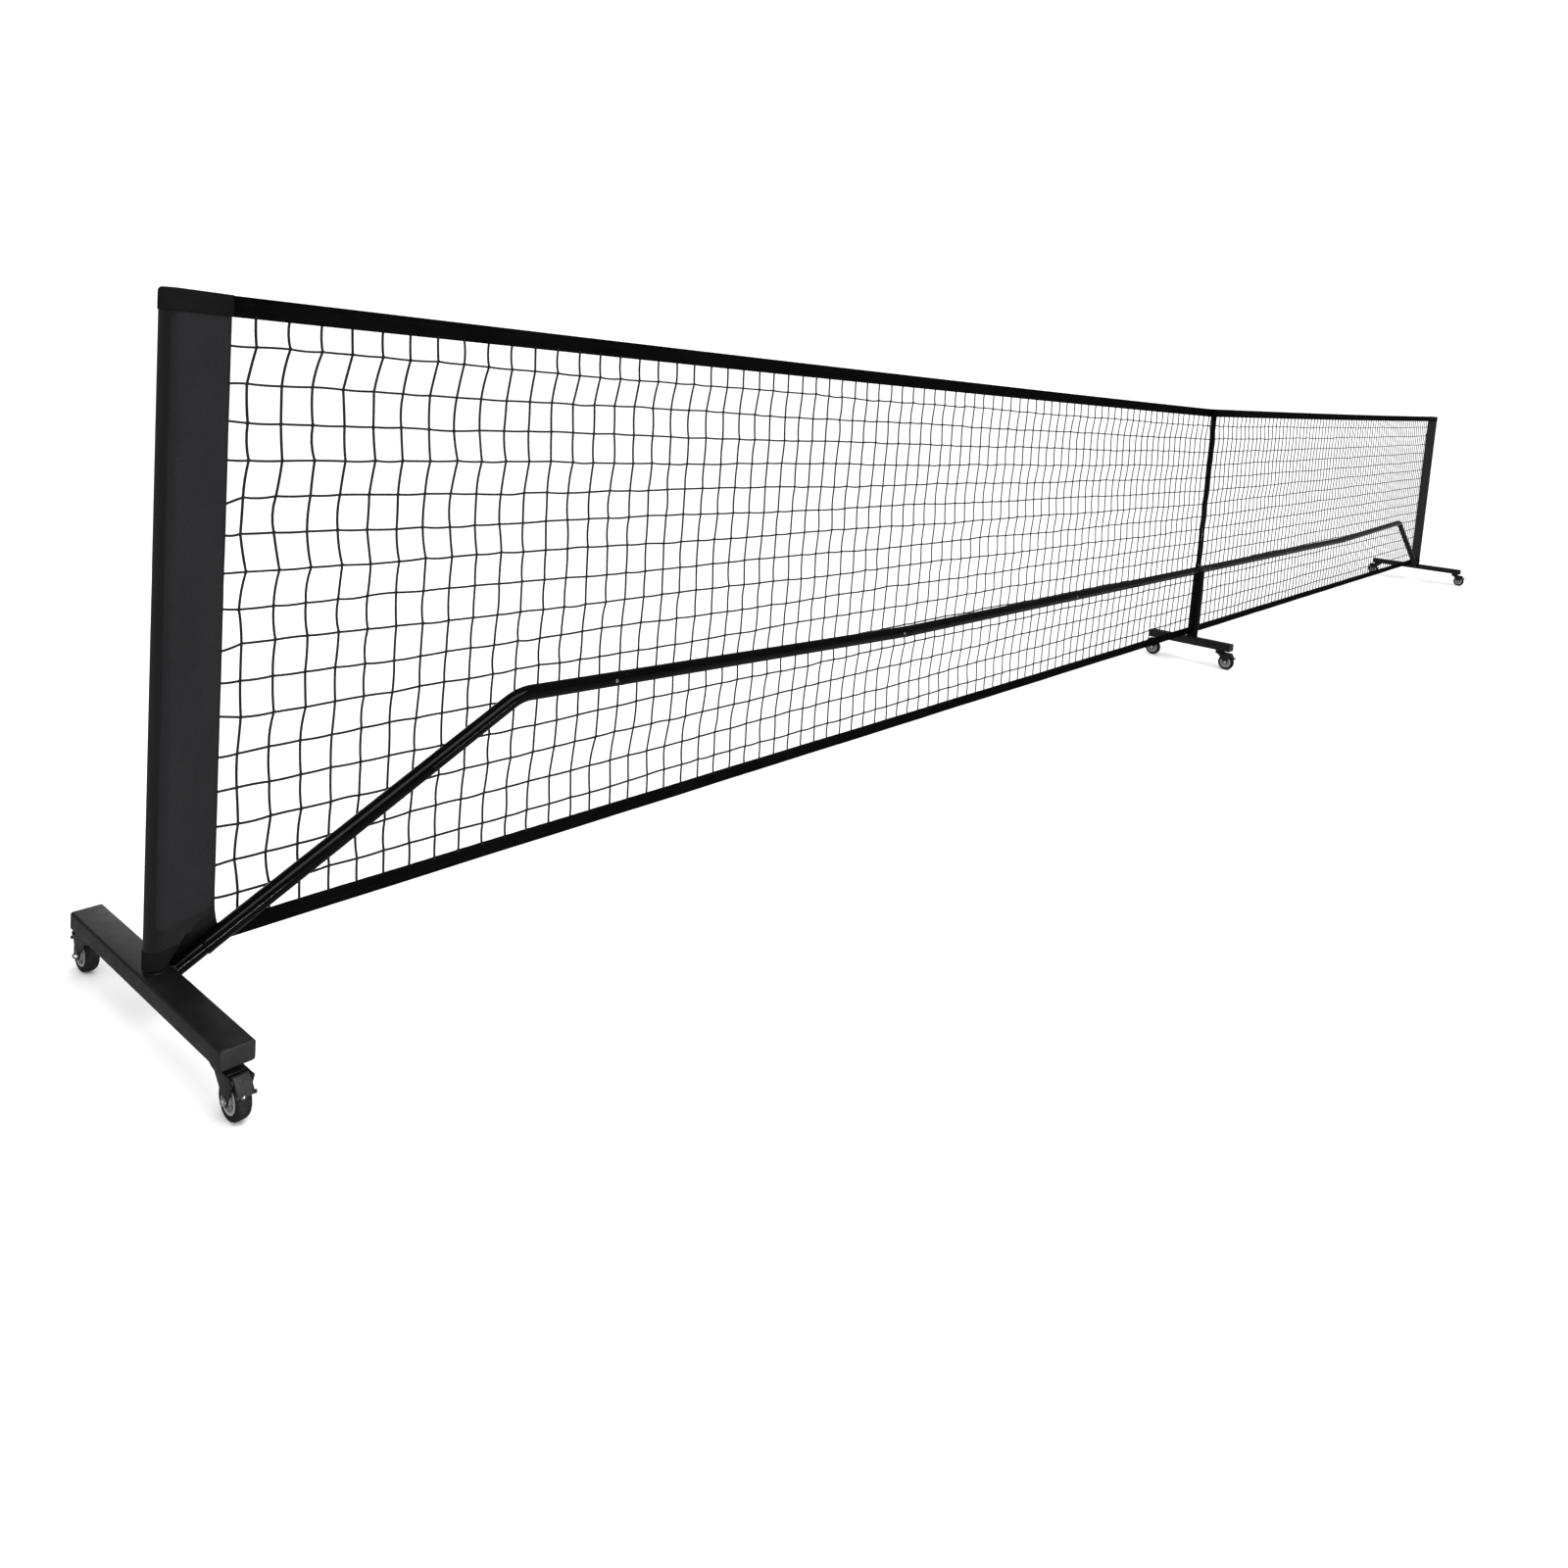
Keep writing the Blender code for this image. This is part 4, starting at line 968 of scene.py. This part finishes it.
def netting_half(side_name, side, seed):
    """Knotted square mesh of one half. Every row and column is one cord with a knot at each crossing."""
    random = np.random.default_rng(seed)
    grid = knot_grid(side, random)
    points, faces = [], []

    def add(rings):
        first = len(points)
        count, sides = rings.shape[:2]
        points.extend(rings.reshape(-1, 3))
        faces.extend(ring_faces(count, sides, False, first))
        faces.append(tuple(range(first, first + sides))[::-1])
        faces.append(tuple(range(first + (count - 1) * sides, first + count * sides)))

    def add_cord(line, axis, mean, spread, lean):
        bow = np.zeros((len(line) - 1, 3))
        bow[:, axis] = random.normal(mean, spread, len(bow)) + lean
        path = bowed(line, bow)
        add(tube_rings(path, np.full(len(path), CORD_RADIUS), 6))

    inner_edge = side * (HALF_SPAN - SLEEVE_LENGTH + 0.002)
    for row in range(ROWS):
        first = np.array([inner_edge, NET_Y, grid[row][0][2] + random.normal(0, 0.004)])
        last_z = net_top(0) - TOP_TAPE_HEIGHT
        last_z -= (FIRST_ROW_SHARE + ROW_SHARE * row) * (last_z - BOTTOM_TAPE_TOP)
        last = np.array([0.0, NET_Y, last_z])
        add_cord(np.vstack([first, grid[row], last]), 2, -0.0004, 0.0005, 0.0)
    for column in range(COLUMNS_PER_HALF):
        knots = grid[:, column]
        top_x, low_x = knots[0][0] + side * 0.002, knots[-1][0] - side * 0.001
        top = np.array([top_x, NET_Y, net_top(top_x) - TOP_TAPE_HEIGHT + 0.004])
        low = np.array([low_x, NET_Y, BOTTOM_TAPE_TOP - 0.004])
        add_cord(np.vstack([top, knots, low]), 0, 0, 0.0009, side * 0.0008)
    for knot in grid.reshape(-1, 3):
        spin = random.uniform(0, 1)
        heights = np.array([-0.0024, -0.0014, 0.0012, 0.0024])
        radii = np.array([0.0009, 0.0023, 0.0024, 0.0009]) * random.uniform(0.9, 1.12)
        angles = circle_angles(6) + spin
        rings = np.zeros((4, 6, 3))
        rings[:, :, 0] = knot[0] + radii[:, None] * np.cos(angles) + heights[:, None] * 0.3
        rings[:, :, 1] = knot[1] + radii[:, None] * np.sin(angles) * 0.85
        rings[:, :, 2] = knot[2] + heights[:, None]
        add(rings)
    name = f"netting_{side_name}"
    piece(name, make_mesh(name, points, faces), "twine", "net_cord", ["netting"])


# ---------------- casters


WHEEL_RADIUS = 0.025
TRAIL = 0.022
HUB_RADIUS = 0.0168
LEG_INSIDE = 0.0105
LEG_THICKNESS = 0.002
CROWN_TOP = 0.0557
CROWN_THICKNESS = 0.004
PIVOT = (-0.0345, 0.0515)


def on_both_sides(name, outline, near, far, bevel, segments=2):
    """The same flat outline on both sides of a caster's middle plane."""
    spans = (-far, -near), (near, far)
    return [extruded(name, outline, low, high, bevel, segments) for low, high in spans]


def both_faces(half):
    """A (radius, x) profile and its mirror image in x."""
    return half + [(r, -x) for r, x in reversed(half)]


def fork_mesh():
    """Pressed steel fork in the caster frame, trailing towards -Y."""
    axle = (-TRAIL, WHEEL_RADIUS)
    edge = CROWN_TOP - 0.0003
    crown = [(0.0040, 0.0492), (0.0135, 0.0514), (0.0137, edge), (-0.0240, edge)]
    ear = [(-0.0340, 0.0555), (-0.0366, 0.0550), (-0.0385, 0.0533), (-0.0389, 0.0508), (-0.0378, 0.0472)]
    outline = crown + ear + arc(axle, 0.0068, 160, 385, 14)
    legs = on_both_sides("leg", outline, LEG_INSIDE, LEG_INSIDE + LEG_THICKNESS, 0.0006, 3)
    plate = [(0.0137, CROWN_TOP - CROWN_THICKNESS), (0.0137, CROWN_TOP), (-0.0245, CROWN_TOP),
             (-0.0245, CROWN_TOP - 0.0028), (-0.0226, CROWN_TOP - CROWN_THICKNESS)]
    top = extruded("crown", plate, -LEG_INSIDE - LEG_THICKNESS, LEG_INSIDE + LEG_THICKNESS, 0.0011, 4)
    race = [(0.0042, 0.0), (0.0118, 0.0), (0.0124, 0.0002), (0.0128, 0.0007), (0.0042, 0.0007)]
    dome = turned("race_cup", [(r, CROWN_TOP - 0.0008 + h * 1.4) for r, h in race], 40)
    return merged("fork_shape", legs + [top, dome])


def axle_mesh():
    """Shouldered bolt through both legs, hex head and locknut."""
    outside = LEG_INSIDE + LEG_THICKNESS
    shaft = solid_turned("axle", [(0.0029, -outside - 0.001), (0.0029, outside + 0.0044),
                                  (0.0024, outside + 0.0050)], 24, "X")
    parts = [shaft]
    for direction in (-1, 1):
        washer = [(0.0031, 0.0001), (0.0048, 0.0001), (0.0050, 0.0003), (0.0050, 0.0007), (0.0031, 0.0008)]
        parts.append(turned("washer", [(r, direction * (outside + h)) for r, h in washer], 32, "X"))
        hexagon = [(0.0036, 0.0008), (0.0045, 0.0012), (0.0045, 0.0030), (0.0038, 0.0036)]
        nut = solid_turned("nut", [(r, direction * (outside + h)) for r, h in hexagon], 6, "X", 0.3)
        parts.append(bevelled(nut, 0.0002))
    return merged("axle_shape", parts)


def tyre_mesh():
    half = [(0.0171, 0.0080), (0.0176, 0.0085), (0.0196, 0.0089), (0.0216, 0.0087), (0.0233, 0.0077)]
    half += [(0.0243, 0.0064), (0.0249, 0.0046), (0.0250, 0.0028), (0.0250, 0.0010), (WHEEL_RADIUS, 0.0003)]
    return turned("tyre_shape", both_faces(half), 64, "X")


def hub_mesh():
    """Moulded hub: proud rim, recessed web with ribs on both faces, long boss."""
    bore, boss = 0.0032, 0.0062
    half = [(bore, 0.0096), (bore + 0.0005, 0.0100), (boss - 0.0005, 0.0100), (boss, 0.0095), (boss, 0.0038)]
    half += [(boss + 0.0008, 0.0030), (0.0127, 0.0030), (0.0135, 0.0038), (0.0135, 0.0080), (0.0139, 0.0085)]
    half += [(0.0160, 0.0087), (HUB_RADIUS - 0.0002, 0.0083), (HUB_RADIUS, 0.0078)]
    parts = [turned("hub", both_faces(half), 56, "X")]
    blade = [(0.0055, -0.0008), (0.0140, -0.0006), (0.0140, 0.0006), (0.0055, 0.0008)]
    for face in (-1, 1):
        for spoke in range(6):
            rib = extruded("rib", blade, 0.0025, 0.0066, 0.0003)
            if face < 0:
                rib.transform(Matrix.Rotation(math.pi, 4, "Z"))
            rib.transform(Matrix.Rotation(2 * math.pi * spoke / 6 + 0.3, 4, "X"))
            parts.append(rib)
    return merged("hub_shape", parts)


def plate_mesh():
    """Top plate, ball race and kingpin rivet under the foot."""
    top = FOOT_BOTTOM - GAP
    race_bottom = CROWN_TOP + GAP
    disc = solid_turned("disc", [(0.0170, top), (0.0182, top - 0.0002), (0.0186, top - 0.0008),
                                 (0.0182, top - 0.0016), (0.0160, top - 0.0020)], 48)
    race = solid_turned("race", [(0.0158, top - 0.0018), (0.0156, top - 0.0030),
                                 (0.0148, race_bottom + 0.0006), (0.0138, race_bottom),
                                 (0.0100, race_bottom)], 48)
    crown_bottom = CROWN_TOP - CROWN_THICKNESS
    pin = [(0.0030, race_bottom + 0.0005), (0.0030, crown_bottom - GAP), (0.0052, crown_bottom - GAP),
           (0.0052, crown_bottom - 0.0012), (0.0044, crown_bottom - 0.0024), (0.0026, crown_bottom - 0.0029)]
    return merged("plate_shape", [disc, race, solid_turned("rivet", pin, 28)])


def pedal_mesh():
    """Moulded brake pedal: tread with grip ribs, cheeks, corner lugs, tongue, and barrel round its pin."""
    tread = [(-0.0285, 0.0552), (-0.0308, 0.0560), (-0.0330, 0.0560), (-0.0368, 0.0534), (-0.0406, 0.0498)]
    tread += [(-0.0448, 0.0444), (-0.0488, 0.0386), (-0.0484, 0.0379), (-0.0471, 0.0377), (-0.0432, 0.0434)]
    tread += [(-0.0394, 0.0478), (-0.0354, 0.0510), (-0.0322, 0.0531), (-0.0285, 0.0530)]
    half = 0.0095
    parts = [extruded("tread", tread, -half, half, 0.0005, 3)]
    slope_start, slope_end = Vector((-0.0374, 0.0530)), Vector((-0.0480, 0.0398))
    outward = Vector((slope_end.y - slope_start.y, slope_start.x - slope_end.x)).normalized()
    for x in (-0.0047, 0.0, 0.0047):
        low, high = slope_start - outward * 0.0004, slope_end - outward * 0.0004
        rib = [low, low + outward * 0.0009, high + outward * 0.0009, high]
        parts.append(extruded("rib", [(p.x, p.y) for p in rib], x - 0.0007, x + 0.0007, 0.0003, 2))
    cheek = [(-0.0300, 0.0538), (-0.0330, 0.0548), (-0.0394, 0.0492), (-0.0412, 0.0460), (-0.0386, 0.0454),
             (-0.0326, 0.0498)]
    parts += on_both_sides("cheek", cheek, 0.0079, half, 0.0004)
    parts += on_both_sides("lug", arc((-0.0473, 0.0398), 0.0024, 0, 345, 15), 0.0086, 0.0112, 0.0004)
    tongue = [(-0.0322, 0.0506), (-0.0352, 0.0536), (-0.0404, 0.0464), (-0.0367, 0.0467)]
    parts.append(extruded("tongue", tongue, -0.0055, 0.0055, 0.0005))
    barrel = both_faces([(0.0024, 0.0097), (0.0028, 0.0093)])[::-1]
    barrel = solid_turned("barrel", barrel, 24, "X")
    barrel.transform(Matrix.Translation((0, *PIVOT)))
    return merged("pedal_shape", parts + [barrel])


def pin_mesh():
    """Cross pin with riveted heads, about its own axis."""
    outside = LEG_INSIDE + LEG_THICKNESS
    half = [(0.0014, outside + 0.0018), (0.0027, outside + 0.0012), (0.0031, outside + 0.0003),
            (0.0019, outside + 0.0002)]
    return solid_turned("cross_pin", both_faces(half)[::-1], 24, "X")


def rivet_mesh():
    """The bright rivet at the tread's lower lip."""
    rivet = solid_turned("lip_rivet", [(0.0018, -0.0010), (0.0024, -0.0002), (0.0023, 0.0005),
                                       (0.0017, 0.0012), (0.0007, 0.0016)], 20)
    rivet.transform(Matrix.Rotation(math.radians(118), 4, "X"))
    rivet.transform(Matrix.Translation((-0.0035, -0.0487, 0.0386)))
    return rivet


def casters():
    """Every caster is the same set of shapes, placed at its own kingpin."""
    axle = Vector((0, -TRAIL, WHEEL_RADIUS))
    shapes = [
        ("mount", plate_mesh(), "black_steel", "caster_steel", Vector(), "frame", "plate"),
        ("yoke", fork_mesh(), "black_steel", "caster_steel", Vector(), "fork", "fork"),
        ("axle_bolt", axle_mesh(), "zinc_steel", "caster_steel", axle, "fork", None),
        ("wheel_tyre", tyre_mesh(), "tyre", "tyre_rubber", axle, "wheel", "tyre"),
        ("wheel_hub", hub_mesh(), "hub_plastic", "hub_plastic", axle, "wheel", "hub"),
        ("brake_tread", pedal_mesh(), "pedal_plastic", "pedal_plastic", Vector(), "pedal", "pedal"),
        ("brake_pin", pin_mesh(), "black_steel", "caster_steel", Vector((0, *PIVOT)), "pedal", None),
        ("brake_rivet", rivet_mesh(), "zinc_steel", "caster_steel", Vector(), "pedal", None),
    ]
    for joint in frame["joints"]:
        if not joint["name"].endswith("_caster_swivel"):
            continue
        name = joint["name"].removesuffix("_swivel")
        x, y, _ = joint["pos_m"]
        turn = 0.0 if y < 0 else math.pi
        rotation = Matrix.Rotation(turn, 3, "Z")
        for label, mesh, look, slot, offset, body, node in shapes:
            place = Vector((x, y, 0)) + rotation @ offset
            rides = "frame" if body == "frame" else f"{name}_{body}"
            stands_for = [f"{name}_{node}"] if node else []
            piece(f"{name}_{label}", mesh, look, slot, stands_for, place, turn, rides)


# ---------------- camera, light and floor


def add_camera():
    """Wide lens near the left end, at chest height, looking along the net; rolled a little."""
    yaw, pitch, roll = math.radians(50.150), math.radians(-5.298), math.radians(4.259)
    forward = Vector((math.sin(yaw) * math.cos(pitch), math.cos(yaw) * math.cos(pitch), math.sin(pitch)))
    level = Vector((math.cos(yaw), -math.sin(yaw), 0))
    above = level.cross(forward)
    right = math.cos(roll) * level + math.sin(roll) * above
    up = -math.sin(roll) * level + math.cos(roll) * above
    data = bpy.data.cameras.new("camera")
    data.sensor_width = 36.0
    data.lens = 26.79
    data.shift_y = -0.190
    data.clip_start, data.clip_end = 0.05, 100
    camera = bpy.data.objects.new("camera", data)
    columns = Matrix((right, up, -forward)).transposed()
    camera.matrix_world = Matrix.Translation((-0.582 - HALF_SPAN, -1.428, 0.863)) @ columns.to_4x4()
    bpy.context.scene.collection.objects.link(camera)
    bpy.context.scene.camera = camera


def area_light(name, location, target, size, power):
    data = bpy.data.lights.new(name, "AREA")
    data.shape = "RECTANGLE"
    data.size, data.size_y = size
    data.energy = power
    light = bpy.data.objects.new(name, data)
    light.location = location
    light.rotation_mode = "QUATERNION"
    light.rotation_quaternion = (Vector(target) - Vector(location)).to_track_quat("-Z", "Y")
    light.visible_camera = False
    bpy.context.scene.collection.objects.link(light)


def add_world():
    """An even white room that the gloss of the paint picks up only faintly."""
    world = bpy.data.worlds.new("studio")
    bpy.context.scene.world = world
    world.use_nodes = True
    tree = world.node_tree
    background = tree.nodes["Background"]
    background.inputs["Color"].default_value = (1, 1, 1, 1)
    path = tree.nodes.new("ShaderNodeLightPath")
    strength = tree.nodes.new("ShaderNodeMapRange")
    strength.inputs["To Min"].default_value = 1.3
    strength.inputs["To Max"].default_value = 0.16
    tree.links.new(path.outputs["Is Glossy Ray"], strength.inputs["Value"])
    tree.links.new(strength.outputs[0], background.inputs["Strength"])


def add_light():
    add_world()
    area_light("key", (-2.5, -3.0, 5.0), (-1.5, 0, 0.3), (5.0, 2.5), 160)
    area_light("back", (-2.3, 3.0, 0.7), (-3.3, 0.2, 0.1), (2.0, 1.1), 12)
    area_light("low_strip", (-3.15, -2.0, 0.10), (-3.3, 0, 0.14), (1.0, 0.014), 16.0)
    area_light("bend_strip", (-2.0, -1.9, 0.30), (-2.85, 0, 0.35), (0.4, 0.04), 2.4)
    bpy.context.scene.view_settings.view_transform = "Standard"
    bpy.context.scene.view_settings.look = "None"


def add_floor():
    mesh = make_mesh("floor", [(-40, -40, 0), (40, -40, 0), (40, 40, 0), (-40, 40, 0)], [(0, 1, 2, 3)])
    mesh.materials.append(LOOKS["floor"])
    floor = bpy.data.objects.new("floor", mesh)
    bpy.context.scene.collection.objects.link(floor)


# ---------------- the whole


for side_name, side in SIDES:
    end_foot(side_name, side)
    elbow(side_name, side)
    for index in range(STRAIGHT_TUBES):
        straight_tube(side_name, side, index)
    sleeve(side_name, side)
    netting_half(side_name, side, 11 + side)
lower_middle_post()
upper_middle_post()
snap_buttons()
tapes()
casters()
add_floor()
add_light()
add_camera()
